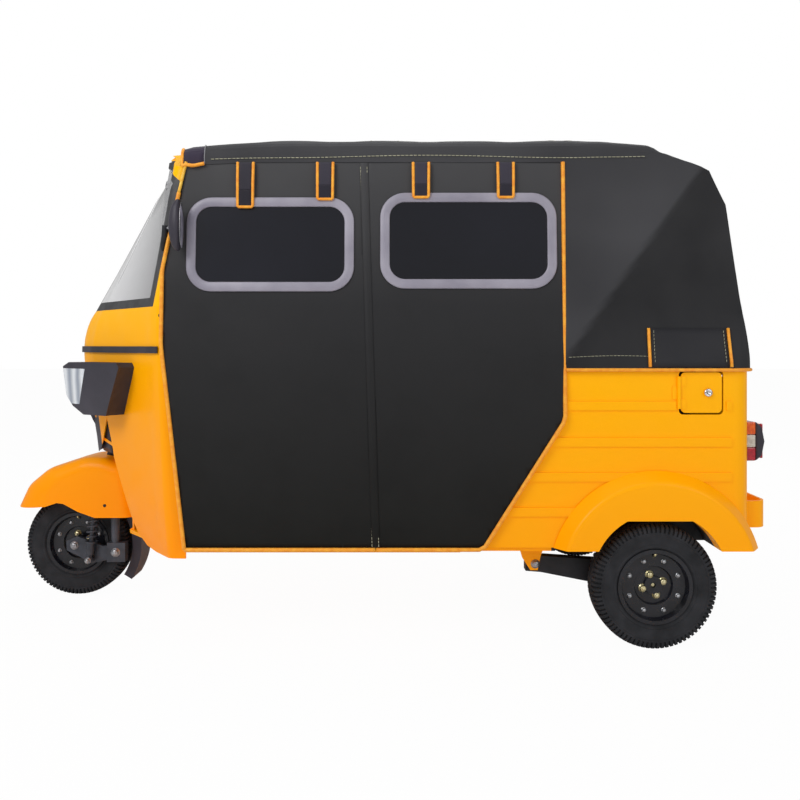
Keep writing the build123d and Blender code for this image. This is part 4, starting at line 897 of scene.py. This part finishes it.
PLAN_LEVELS = (
    # z; nose x and half width of the solids; nose x and half width as dressed; side x; side y
    (0.250, -0.900, 0.190, -0.900, 0.190, -0.590, 0.590),
    (0.590, -1.024, 0.190, -1.004, 0.140, -0.615, 0.580),
    (0.850, -1.086, 0.190, -1.058, 0.120, -0.628, 0.570),
    (1.000, -1.090, 0.190, -1.060, 0.120, -0.636, 0.560),
    (1.085, -1.050, 0.190, -1.020, 0.120, -0.640, 0.552),
    (1.720, -0.690, 0.190, -0.642, 0.120, -0.585, 0.530),
)
SOLID_ROUND, DRESSED_ROUND = 0.030, 0.055
SIDE_BLEND = 0.06             # width in which the move dies out towards the side
CAB_X = -0.64                 # where the cab starts and nothing moves
CORNER_FALL = 0.050           # how far the header's corners drop
HEADER_DROP = 0.012           # how far the whole header drops
VISOR_TOP, VISOR_LOW, VISOR_SLOPE, VISOR_X = 1.662, 1.588, 0.7, 0.66    # underside of the hood's front
FRAME_GAP = 0.004             # clearance of the frame below the falling shoulders
MASK_SPLIT, MASK_RAKE = 0.700, 0.42    # height below which the mask runs back, and how steeply
TIP_ROUND, TIP_FLAT = 0.105, 0.017     # rounding of the mudguard's tip, half width that stays flat
TIP_RAKE, TIP_BACK = 0.30, 0.010       # how steeply the tip leans back, how far it is set back
BAR_INNER, BAR_DRAWN = 0.060, 0.68     # where the handlebar's ends start, and how far they are drawn in


def plan_front(nose, half, side_x, side_y, rounding, y):
    """X of the rounded V plan at a distance from the middle."""
    past = abs(y) - half
    return nose + (side_x - nose) / (side_y - half) * 0.5 * (past + math.hypot(past, rounding))


def plan_shift(y, z):
    """(how far the front stands back from the solids' front, the solids' front) at y and z."""
    z = min(max(z, PLAN_LEVELS[0][0]), PLAN_LEVELS[-1][0])
    for low, high in zip(PLAN_LEVELS, PLAN_LEVELS[1:]):
        if z <= high[0]:
            t = (z - low[0]) / (high[0] - low[0])
            _, nose, half, new_nose, new_half, side_x, side_y = (a + (b - a) * t for a, b in zip(low, high))
            break
    solid = plan_front(nose, half, side_x, side_y, SOLID_ROUND, y)
    dressed = plan_front(new_nose, new_half, side_x, side_y, DRESSED_ROUND, y)
    return max(0.0, dressed - solid) * share(abs(y), side_y, side_y - SIDE_BLEND), solid


def rounded_nose(co):
    """Front of the cab drawn to a rounder plan, less so towards the cab."""
    move, solid = plan_shift(co.y, co.z)
    co.x += move * share(co.x, CAB_X, solid)
    return co


def lowered(co):
    """Header, gasket and glass let down as the hood's front is, on the rounder plan."""
    co = rounded_nose(co)
    co.z -= front_fall(co.x, co.z)
    co.z -= CORNER_FALL * share(abs(co.y), 0.36, 0.53) * share(co.z, 1.47, 1.58)
    co.z -= HEADER_DROP * share(co.z, 1.54, 1.60)
    visor = min(VISOR_TOP, VISOR_LOW + VISOR_SLOPE * max(0.0, co.x + VISOR_X))
    if co.z > visor:
        co.z = visor + 0.04 * (co.z - visor)
    return co


def under_hood(co):
    """Frame kept below the cloth where the shoulders fall to the rear."""
    if co.z > 1.45 and co.x > 0.80:
        co.z -= SHOULDER_Z - shoulder_height(co.x) + FRAME_GAP * share(co.x, 0.8, 0.9)
    elif co.z > 1.45:
        co.z -= front_fall(co.x, co.z)
    return co


def beaked(co):
    """Mask whose lower half runs back to the cowl."""
    co = rounded_nose(co)
    co.x += MASK_RAKE * max(0.0, MASK_SPLIT - co.z)
    return co


def blended_back(co):
    """Lamps that reach back to the rounder cowl, with their fronts left where they are."""
    move, solid = plan_shift(co.y, co.z)
    out = share(solid - co.x, 0.004, 0.050)
    co.x += move * share(co.x, CAB_X, solid) * (1 - 0.92 * out)
    return co


def raked_tip(co):
    """Mudguard with a raked front, rounded in plan."""
    past = max(0.0, abs(co.y) - TIP_FLAT)
    round_back = TIP_ROUND - math.sqrt(max(0.0, TIP_ROUND ** 2 - past ** 2))
    co.x += share(co.x, -1.10, -1.33) * (TIP_BACK + TIP_RAKE * max(0.0, co.z - 0.345) + round_back)
    return co


def drawn_in(co):
    """Handlebar short enough to turn inside the rounder cowl."""
    past = abs(co.y) - BAR_INNER
    if past > 0:
        co.y = math.copysign(BAR_INNER + past * BAR_DRAWN, co.y)
    return co


for name, material, body, shape, slot in (
        ("front_cowl", SHADED_FRONT_PAINT, "root", rounded_nose, "body_paint"),
        ("cowl_moulding", BLACK, "root", rounded_nose, "black_plastic"),
        ("instrument_panel", BLACK, "root", rounded_nose, "black_plastic"),
        ("wheel_well", SHADED_FRONT_PAINT, "root", rounded_nose, "body_paint"),
        ("screen_frame", PAINT, "root", lowered, "body_paint"),
        ("windscreen_gasket", RUBBER, "root", lowered, "rubber_black"),
        ("windscreen", SCREEN, "root", lowered, "windscreen_glass"),
        ("roof_frame", CHASSIS, "root", under_hood, "chassis_paint"),
        ("nose_mask", BLACK, "root", beaked, "black_plastic"),
        ("headlamp_housings", BLACK, "root", blended_back, "black_plastic"),
        ("headlamp_lenses", CLEAR_LENS, "root", blended_back, "lens"),
        ("front_mudguard", SHADED_FRONT_PAINT, "steering", raked_tip, "body_paint"),
        ("steering_column", CHASSIS, "steering", drawn_in, "tube_steel"),
        ("handlebar_grips", RUBBER, "steering", drawn_in, "rubber_black")):
    shaped_copy(name, material, body, shape)

LOBE_HALF, LOBE_TOP, LOBE_BACK = 0.200, 0.715, -0.90     # part of the nose that is black below the mask
SKIRT_LOW, SKIRT_HIGH, SKIRT_ROWS = 0.570, 0.720, 8
SKIRT_STEP, SKIRT_CELLS, SKIRT_BACK = 0.022, 11, 0.010   # across; cells each side; set back from the cowl


def dark_lobe():
    """Black lower nose, with a black skirt that closes the gap to the wheel well."""
    cowl = bpy.data.objects["front_cowl_shaped"]
    cowl.data.materials.append(BLACK)
    for polygon in cowl.data.polygons:
        centre = polygon.center
        if abs(centre.y) < LOBE_HALF and centre.z < LOBE_TOP and centre.x < LOBE_BACK:
            polygon.material_index = 1
    bm = bmesh.new()
    rows = []
    for i in range(SKIRT_ROWS + 1):
        z = SKIRT_LOW + (SKIRT_HIGH - SKIRT_LOW) * i / SKIRT_ROWS
        spots = [SKIRT_STEP * j for j in range(-SKIRT_CELLS, SKIRT_CELLS + 1)]
        rows.append([bm.verts.new((sum(plan_shift(y, z)) + SKIRT_BACK, y, z)) for y in spots])
    skin(bm, rows)
    thicken(piece("nose_skirt", bm, BLACK), 0.002)


dark_lobe()

# ---------------------------------------------------------------- piping and stitching
STITCH, STITCH_GAP = 0.008, 0.003        # length of a seam stitch, space to the next
EDGE_KNEE = (-0.5665, 1.447)             # where the front edge's dark piping gives way to the pale one
WELT_SECTION = ((-0.013, -0.0010), (-0.012, 0.0010), (-0.004, 0.0012), (0.0, 0.0022), (0.004, 0.0012),
                (0.012, 0.0010), (0.013, -0.0010))       # across, lift
WELT_ROWS, WELT_END = 48, 0.002


def add_stitch(bm, place, reach, width):
    """One stitch from a place along a vector."""
    add_tube(bm, [place, place + Vector(reach)], width, 4)


def make_piping(name, walls, radius, out, material=PIPING):
    """Round piping on both sides along (x, z) points of the cloth walls."""
    for side, sign in SIDES:
        bm = bmesh.new()
        for points in walls:
            add_tube(bm, rounded(spread([on_wall(sign, x, z, out) for x, z in points], 0.05), 1), radius)
        piece(f"{name}_{side}", bm, material)


def make_stitches(name, lines):
    """Rows of thread stitches on both sides along straight (x, z) lines on the cloth walls."""
    for side, sign in SIDES:
        bm = bmesh.new()
        for a, b in lines:
            start, end = on_wall(sign, *a, 0.0012), on_wall(sign, *b, 0.0012)
            along = (end - start).normalized()
            for k in range(int((end - start).length / (STITCH + STITCH_GAP))):
                add_stitch(bm, start + along * k * (STITCH + STITCH_GAP), along * STITCH, 0.0011)
        piece(f"{name}_{side}", bm, THREAD, smooth=False)


def seam_welt():
    """Overlapped strip that covers the join of the two curtains."""
    for side, sign in SIDES:
        bm = bmesh.new()
        strip = []
        for i in range(WELT_ROWS + 1):
            t = i / WELT_ROWS
            x = SEAM_LOW + (SEAM_TOP - SEAM_LOW) * t
            z = HEM_LOW + WELT_END + (EAVES_Z - HEM_LOW - 2 * WELT_END) * t
            strip.append([bm.verts.new(on_wall(sign, x + dx, z, out)) for dx, out in WELT_SECTION])
        skin(bm, strip)
        piece(f"seam_welt_{side}", bm, CURTAIN)


make_piping("front_edge_piping", [FRONT_EDGE + [EDGE_KNEE]], 0.0065, 0.002)
make_piping("front_top_piping", [[EDGE_KNEE, (-0.545, EAVES_Z)]], 0.005, 0.003, PALE_PIPING)
make_piping("curtain_hem_piping", [CURTAIN_EDGES["front"][:2], CURTAIN_EDGES["rear"][:4]], 0.0065, 0.002)
make_stitches("seam_stitches", [((SEAM_LOW + dx, HEM_LOW + 0.01), (SEAM_TOP + dx, EAVES_Z - 0.005))
                                for dx in (-0.012, 0.009)])
seam_welt()

# ---------------------------------------------------------------- straps
STRAPS = ((-0.354, 1.399), (-0.0996, 1.424), (0.206, 1.430), (0.476, 1.430))     # x, foot
STRAP_HALF = 0.025
STRAP_TOP = 1.543
STRAP_OUT = 0.0062
STRAP_ROWS, STRAP_CELLS = 12, 4
TAB_SHARE = 0.36             # lower part of a strap, sewn double


def strap_bow(z):
    """How far a strap stands off the curtain at height z."""
    return 0.0025 * math.sin(math.pi * share(z, STRAP_TOP, STRAP_TOP - 0.13))


def add_strap(bm, sign, x, z_low, z_high, thickness):
    """Flat strap on the wall that bows out a little in its middle."""
    rings = []
    for i in range(STRAP_ROWS + 1):
        z = z_low + (z_high - z_low) * i / STRAP_ROWS
        inner, outer = ([bm.verts.new(on_wall(sign, x + STRAP_HALF * (2 * k / STRAP_CELLS - 1), z,
                                              STRAP_OUT + strap_bow(z) + lift))
                         for k in range(STRAP_CELLS + 1)] for lift in (0.0, thickness))
        rings.append(inner + outer[::-1])
    skin(bm, rings, around=True)
    for end in (rings[0], rings[-1]):
        for k in range(STRAP_CELLS):
            bm.faces.new((end[k], end[k + 1], end[-2 - k], end[-1 - k]))


def make_straps():
    """Roll-up straps with piped edges and a darker tab at the foot."""
    for side, sign in SIDES:
        bands, tabs, edges, threads = (bmesh.new() for _ in range(4))
        for x, foot in STRAPS:
            split = foot + TAB_SHARE * (STRAP_TOP - foot)
            add_strap(bands, sign, x, split, STRAP_TOP, 0.002)
            add_strap(tabs, sign, x, foot, split + 0.002, 0.003)
            outline = [(x - STRAP_HALF, STRAP_TOP), (x - STRAP_HALF + 0.001, foot),
                       (x + STRAP_HALF - 0.001, foot), (x + STRAP_HALF, STRAP_TOP)]
            flat = spread([(px, 0, pz) for px, pz in outline], 0.016)
            add_tube(edges, rounded([on_wall(sign, p.x, p.z, 0.0078 + strap_bow(p.z)) for p in flat], 1),
                     0.0048)
            for k in range(6):
                start = x - STRAP_HALF + 0.006 + k * 0.0065
                add_stitch(threads, on_wall(sign, start, split, 0.0102), (0.0045, 0, 0), 0.001)
        piece(f"strap_bands_{side}", bands, STRAP, stands_for=("roll_straps",))
        piece(f"strap_tabs_{side}", tabs, TAB)
        piece(f"strap_piping_{side}", edges, PIPING)
        piece(f"strap_threads_{side}", threads, THREAD)


make_straps()

# ---------------------------------------------------------------- hood edging
PATCH = ((0.927, 1.013), (1.184, 0.890))     # upper front and lower rear corners of the patch
PATCH_COLUMNS, PATCH_ROWS = 10, 6
HEM_OUT, HEM_BACK = 0.002, 1.268             # how far the hem piping stands out, its x at the back
ROOF_SEAMS = (0.027, 0.117, 0.629, 0.683)


def on_quarter(sign, x, z, lift):
    """Point some way out from the hood's quarter panel."""
    out = hood_give(x, -cloth_y(z), z) + min(0.0, side_limit(x) - cloth_y(z))
    return on_wall(sign, x, z, out + lift)


def make_hood_edging():
    """Piped and stitched hem of the hood, and the patch over its filler corner."""
    (x0, z1), (x1, z0) = PATCH
    xs = [x0 + (x1 - x0) * i / PATCH_COLUMNS for i in range(PATCH_COLUMNS + 1)]
    zs = [z0 + (z1 - z0) * j / PATCH_ROWS for j in range(PATCH_ROWS + 1)]
    corner_x, corner_y, corner_r = REAR_ROUND
    for side, sign in SIDES:
        hem, thread, patch = bmesh.new(), bmesh.new(), bmesh.new()
        low = [Vector((x / 1000, sign * (side_limit(x / 1000) + HEM_OUT), HOOD_HEM))
               for x in range(664, 1200, 30)]
        low += [Vector((corner_x + (corner_r + HEM_OUT) * math.sin(a),
                        sign * (corner_y + (corner_r + HEM_OUT) * math.cos(a)), HOOD_HEM))
                for a in (0.2, 0.5, 0.8, 1.1, 1.4)]
        low.append(Vector((HEM_BACK, 0, HOOD_HEM)))
        add_tube(hem, low, 0.0055)
        for k in range(44):
            x = 0.672 + k * 0.0118
            if not x0 - 0.004 < x < x1:
                z = 0.921 + 0.005 * math.sin(k * 0.12)
                add_stitch(thread, on_quarter(sign, x, z, 0.0012), (0.0085, 0, 0), 0.001)
        skin(patch, [[patch.verts.new(on_quarter(sign, x, z, 0.003)) for z in zs] for x in xs])
        for x in (x0, x1):
            add_tube(hem, [on_quarter(sign, x, z, 0.004) for z in zs], 0.0052)
        for x in (x0 + 0.016, x1 - 0.016):
            for k in range(9):
                z = z0 + 0.016 + k * 0.0115
                add_stitch(thread, on_quarter(sign, x, z, 0.0038), (0, 0, 0.0075), 0.0009)
        piece(f"hood_hem_piping_{side}", hem, PIPING)
        piece(f"hood_stitches_{side}", thread, THREAD, smooth=False)
        patched = piece(f"hood_patch_{side}", patch, CANVAS)
        thicken(patched, 0.0015)


def roof_point(x, y, lift):
    """Point just above the hood's roof."""
    height = min(CROWN_Z, crown_height(abs(y)))
    return Vector((x, y, height + hood_give(x, y, height) + lift))


def make_roof_seams():
    """Thread lines across the roof and along both eaves."""
    bm = bmesh.new()
    for x in ROOF_SEAMS:
        points = [roof_point(x + 0.02 * (y / 0.5) ** 2, y, 0.001)
                  for y in [-0.50 + 0.02 * k for k in range(51)]]
        for a, b in zip(points, points[1:]):
            add_tube(bm, [a, a.lerp(b, 0.75)], 0.0013, 4)
    for _, sign in SIDES:
        for k in range(118):
            x = -0.600 + k * 0.0135
            if -0.47 <= x <= 0.92:
                z = EAVES_Z + 0.018 + 0.004 * math.sin(x * 7) - front_fall(x, EAVES_Z + 0.02)
                lift = max(0.0, hood_give(x, sign * cloth_y(z), z)) + 0.0022
                add_stitch(bm, on_wall(sign, x, z, lift), (0.010, 0, 0), 0.0014)
    piece("roof_seams", bm, THREAD, smooth=False)


make_hood_edging()
make_roof_seams()

# ---------------------------------------------------------------- wheels
WHEELS = (
    # body, name, axle x, middle y, side that faces out
    ("front_wheel", "front", -1.098, 0.0, -1),
    ("rear_left_wheel", "rear_left", 0.942, -0.573, -1),
    ("rear_right_wheel", "rear_right", 0.942, 0.573, 1),
)
AXLE_Z = 0.198
TREAD = (
    # distance from the middle, radius, share of the lug depth cut away in a gap
    (0.0360, 0.1125, 0), (0.0405, 0.1165, 0), (0.0440, 0.1215, 0), (0.0480, 0.1250, 0),
    (0.0487, 0.1300, 0), (0.0475, 0.1325, 0), (0.0500, 0.1420, 0), (0.0515, 0.1530, 0),
    (0.0518, 0.1620, 0), (0.0520, 0.1640, 0), (0.0508, 0.1660, 0), (0.0512, 0.1725, 0),
    (0.0515, 0.1745, 1), (0.0500, 0.1840, 1), (0.0460, 0.1905, 1), (0.0400, 0.1945, 1),
    (0.0330, 0.1965, 1), (0.0245, 0.1972, 1), (0.0240, 0.1915, 0), (0.0205, 0.1915, 0),
    (0.0200, 0.1976, 0), (0.0075, 0.1980, 0), (0.0070, 0.1920, 0), (0.0035, 0.1920, 0),
    (0.0030, 0.1980, 0),
)
LUGS = 80
LUG_DEPTH = 0.0065
LUG_STEPS = ((0.0, 0), (0.56, 0), (0.62, 1), (0.94, 1))      # part of a lug's pitch, whether in the gap
SHOULDER_R = 0.191            # radius below which a gap is cut into the tyre's side as well
RIM_BOLTS_R, HUB_NUTS_R = 0.0835, 0.034      # radii of the circles they stand on


def make_tyre(body, name, x, y):
    """Tyre with sidewall rings, shoulder lugs and grooved ribs."""
    outline = list(TREAD) + [(-out, radius, cut) for out, radius, cut in reversed(TREAD)]
    bm = bmesh.new()
    sections = []
    for lug in range(LUGS):
        for part, gap in LUG_STEPS:
            section = []
            for out, radius, cut in outline:
                turn = 2 * math.pi * (lug + part) / LUGS + (0.5 * math.pi / LUGS if out < 0 else 0)
                deep = LUG_DEPTH * cut * gap
                r = radius - deep * 0.85
                wide = out - math.copysign(deep * 0.6 if radius < SHOULDER_R else 0, out)
                section.append(bm.verts.new((x + r * math.cos(turn), y + wide,
                                             AXLE_Z + r * math.sin(turn))))
            sections.append(section)
    skin(bm, sections, around=True, closed=True)
    tyre = piece(f"{name}_tyre_tread", bm, TYRE, body=body, stands_for=(f"{name}_tyre",))
    tyre.data.set_sharp_from_angle(angle=math.radians(32))


def make_fasteners(body, name, x, y, sign):
    """Rim bolts, hub nuts, valve and hub cap of one wheel."""
    def around(count, first, radius, out):
        """Centres spaced evenly round the axle, the first at an angle in degrees."""
        for k in range(count):
            turn = math.radians(first + 360 / count * k)
            yield Vector((x + radius * math.cos(turn), y + sign * out, AXLE_Z + radius * math.sin(turn)))
    axis = Vector((0, sign, 0))
    bolts, nuts = bmesh.new(), bmesh.new()
    for centre in around(8, 22.5, RIM_BOLTS_R, 0.0252):
        add_nut(bolts, centre, axis, 0.0062, 0.007)
    for centre in around(4, 18, HUB_NUTS_R, 0.0140):
        add_nut(nuts, centre, axis, 0.0100, 0.012)
    if name != "front":
        add_turned(nuts, Vector((x, y + sign * 0.013, AXLE_Z)), axis,
                   [(0, 0.0085), (0.004, 0.008), (0.005, 0.0045)], 16)
    add_tube(nuts, [Vector((x, y + sign * out, AXLE_Z + up))
                    for out, up in ((0.026, 0.092), (0.036, 0.097), (0.046, 0.104))], 0.0035, 10)
    piece(f"{name}_rim_bolts", bolts, ZINC, body=body)
    piece(f"{name}_hub_nuts", nuts, BRASS, body=body)


for body, name, x, y, sign in WHEELS:
    make_tyre(body, name, x, y)
    make_fasteners(body, name, x, y, sign)

# ---------------------------------------------------------------- tail lamps
LAMP_Y = 0.500
LAMP_HALF = 0.045
LENS_FROM, LENS_TO = 1.2585, 1.289           # x of the lenses, from the tub outwards
LAMP_BANDS = ((0.670, 0.711, AMBER, "amber"), (0.629, 0.6695, FROST, "clear"), (0.585, 0.6285, RED, "red"))
SHELL_X = LENS_TO - 0.0004
SHELL_SIDE = [(SHELL_X, 0.584), (1.309, 0.602), (1.318, 0.648), (1.309, 0.694), (SHELL_X, 0.712)]


def make_tail_lamps():
    """Stacked amber, clear and red lenses in a dark outer shell."""
    for side, sign in SIDES:
        y = sign * LAMP_Y
        for low, high, material, tone in LAMP_BANDS:
            bm = bmesh.new()
            add_box(bm, (LENS_FROM, y - LAMP_HALF, low), (LENS_TO, y + LAMP_HALF, high))
            bevelled(piece(f"tail_lens_{tone}_{side}", bm, material,
                           stands_for=("tail_lamps",), smooth=False), 0.004)
        bm = bmesh.new()
        skin_with_ends(bm, [[bm.verts.new((px, py, pz)) for px, pz in SHELL_SIDE]
                            for py in (y - LAMP_HALF - 0.002, y + LAMP_HALF + 0.002)])
        bevelled(piece(f"tail_lamp_shell_{side}", bm, BLACK, smooth=False), 0.006, 3)
        bm = bmesh.new()
        for low, high in ((0.592, 0.626), (0.670, 0.704)):
            add_box(bm, (1.3075, y - 0.032, low), (1.3175, y + 0.032, high))
        bevelled(piece(f"tail_lamp_windows_{side}", bm, RED, smooth=False), 0.003)


make_tail_lamps()

# ---------------------------------------------------------------- seats
CUSHIONS = (
    # node, up axis, axis the channels follow one another along, number of channels
    ("driver_cushion", 2, 1, 4), ("driver_backrest", 0, 1, 4),
    ("bench_cushion", 2, 1, 7), ("bench_backrest", 0, 1, 7),
)
PAD_SHRINK = 0.012            # how much smaller than its room a pad is before it is filled
PAD_SWELL = 0.011             # how far the simulation may fill it out
PAD_STEPS = 20
GROOVE_DEPTH, GROOVE_HALF = 0.007, 0.009     # the sewn channels' grooves
BACK_LEAN, BACK_THICK = math.radians(8), 0.095     # the bench's backrest


def swell(thing):
    """Fills a pad out by a short cloth simulation."""
    rest = [v.co.copy() for v in thing.data.vertices]
    cloth = thing.modifiers.new("cloth", "CLOTH")
    cloth.settings.use_pressure = True
    cloth.settings.uniform_pressure_force = 4
    cloth.settings.effector_weights.gravity = 0
    cloth.point_cache.frame_start = 1
    cloth.point_cache.frame_end = PAD_STEPS
    for step in range(1, PAD_STEPS + 1):
        bpy.context.scene.frame_set(step)
    apply_modifiers(thing)
    for vert, start in zip(thing.data.vertices, rest):
        move = vert.co - start
        if move.length > PAD_SWELL:
            vert.co = start + move.normalized() * PAD_SWELL
    bpy.context.scene.frame_set(1)


def make_cushion(node, up, across, channels):
    """Crowned pad with sewn channels."""
    low, high = (Vector(c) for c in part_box(node))
    shrink = Vector((PAD_SHRINK,) * 3)
    bm = bmesh.new()
    add_box(bm, low + shrink, high - shrink)
    thing = piece(f"{node}_cover", bm, LEATHER, stands_for=(node,))
    remesh = thing.modifiers.new("remesh", "REMESH")
    remesh.mode = "VOXEL"
    remesh.voxel_size = 0.011
    apply_modifiers(thing)
    swell(thing)
    size, middle = high - low, (low + high) / 2
    outward = 1 if up == 2 else -1
    for vert in thing.data.vertices:
        t = (vert.co[across] - low[across]) / size[across] * channels
        groove = math.exp(-((t - round(t)) * size[across] / channels / GROOVE_HALF) ** 2)
        near_top = (vert.co[up] - middle[up]) / (size[up] / 2) * outward
        if near_top > 0.3 and 0.5 < t < channels - 0.5:
            vert.co[up] -= outward * GROOVE_DEPTH * groove
        for i in range(3):
            vert.co[i] = min(max(vert.co[i], low[i]), high[i])
        if node == "bench_backrest":
            flat = (vert.co.x - middle.x) / size.x * BACK_THICK
            vert.co.x = middle.x + flat + (vert.co.z - middle.z) * math.tan(BACK_LEAN)
    for polygon in thing.data.polygons:
        polygon.use_smooth = True


for node, up, across, channels in CUSHIONS:
    make_cushion(node, up, across, channels)

# ---------------------------------------------------------------- hardware
FLAP_LOCK = Vector((1.1125, -0.6068, 0.809))
PIVOT_BOLT = (0.582, 0.5088, 0.243)          # x, half width and z
LINK_NUTS = (((-0.930, -0.1115, 0.180), 0.013), ((-1.033, -0.1155, 0.150), 0.009),
             ((-1.098, -0.0765, 0.198), 0.012))              # centre, radius
MIRROR = (-0.556, 0.626, 1.335)
MIRROR_FOOT = (-0.622, 0.556, 1.270)


def make_hardware():
    """Lock, bolts, nuts and the mudguard's hole, a disc of painted shade."""
    chrome, dark, zinc, link = (bmesh.new() for _ in range(4))
    add_turned(chrome, FLAP_LOCK, Vector((0, -1, 0)),
               [(0, 0.013), (0.002, 0.013), (0.0035, 0.0095), (0.0035, 0.0062), (0.0015, 0.0060)])
    piece("flap_lock", chrome, CHROME, body="access_flap")
    x, half, z = PIVOT_BOLT
    for _, sign in SIDES:
        add_nut(zinc, Vector((x, sign * half, z)), Vector((0, sign, 0)), 0.011, 0.009)
    piece("pivot_bolts", zinc, ZINC)
    place, normal = hit(surface_of("front_mudguard"), (-0.967, -1.0, 0.358), (0, 1, 0))
    add_turned(dark, place + normal * 0.0002, normal,
               [(-0.002, 0.006), (0.0006, 0.006), (0.0006, 0.004)], 16)
    piece("mudguard_hole", dark, HOLE_SHADE, body="steering")
    for centre, radius in LINK_NUTS:
        add_nut(link, Vector(centre), Vector((0, -1, 0)), radius, 0.010)
    piece("link_nuts", link, ZINC, body="steering")


def add_ball(bm, centre, stretch, sides):
    """Ball round a centre; stretch turns a point of the unit ball into its offset from there."""
    bmesh.ops.create_uvsphere(bm, u_segments=sides[0], v_segments=sides[1], radius=1)
    for vert in bm.verts:
        vert.co = centre + Vector(stretch(vert.co))


def make_mirrors():
    """Rounded mirror shells on bright stubs with dark arms."""
    for side, sign in SIDES:
        shell, stub, arm, glass = (bmesh.new() for _ in range(4))
        centre = Vector((MIRROR[0], sign * MIRROR[1], MIRROR[2]))
        foot = Vector((MIRROR_FOOT[0], sign * MIRROR_FOOT[1], MIRROR_FOOT[2]))
        add_ball(shell, centre, lambda p: (p.x * (0.030 if p.x < 0 else 0.012), p.y * 0.033, p.z * 0.082),
                 (40, 24))
        add_ball(glass, centre, lambda p: (0.0105 + p.x * 0.003, p.y * 0.027, p.z * 0.072), (32, 16))
        add_tube(stub, [centre + Vector((-0.012, -sign * 0.022, -0.004)),
                        centre + Vector((-0.052, -sign * 0.034, -0.004))], 0.0065, 12)
        add_tube(arm, rounded([centre + Vector((-0.050, -sign * 0.034, 0.004)),
                               centre + Vector((-0.052, -sign * 0.036, -0.020)), foot,
                               foot + Vector((0, -sign * 0.006, 0))]), 0.010, 12)
        piece(f"mirror_shell_{side}", shell, BLACK, stands_for=("mirrors",))
        piece(f"mirror_glass_{side}", glass, CHROME)
        piece(f"mirror_stub_{side}", stub, CHROME)
        piece(f"mirror_arm_{side}", arm, CHASSIS)


def make_cowl_details():
    """Slotted hinge strips and a small hole on the cowl's rear edge, drawn as discs of painted shade."""
    tree = surface_of("front_cowl")
    for side, sign in SIDES:
        strip, hole = bmesh.new(), bmesh.new()
        for k in range(5):
            place, normal = hit(tree, (-0.600, sign, 0.885 + k * 0.027), (0, -sign, 0))
            if place:
                for dz in (0, 0.012):
                    add_turned(strip, place + normal * 0.0015 + Vector((0, 0, dz)), normal,
                               [(-0.002, 0.0055), (0.0008, 0.0055)], 10)
        place, normal = hit(tree, (-0.634, sign, 1.055), (0, -sign, 0))
        if place:
            add_turned(hole, place, normal, [(-0.002, 0.006), (0.0006, 0.006)], 16)
        piece(f"cowl_slots_{side}", strip, HOLE_SHADE)
        piece(f"cowl_hole_{side}", hole, HOLE_SHADE)


make_hardware()
make_mirrors()
make_cowl_details()
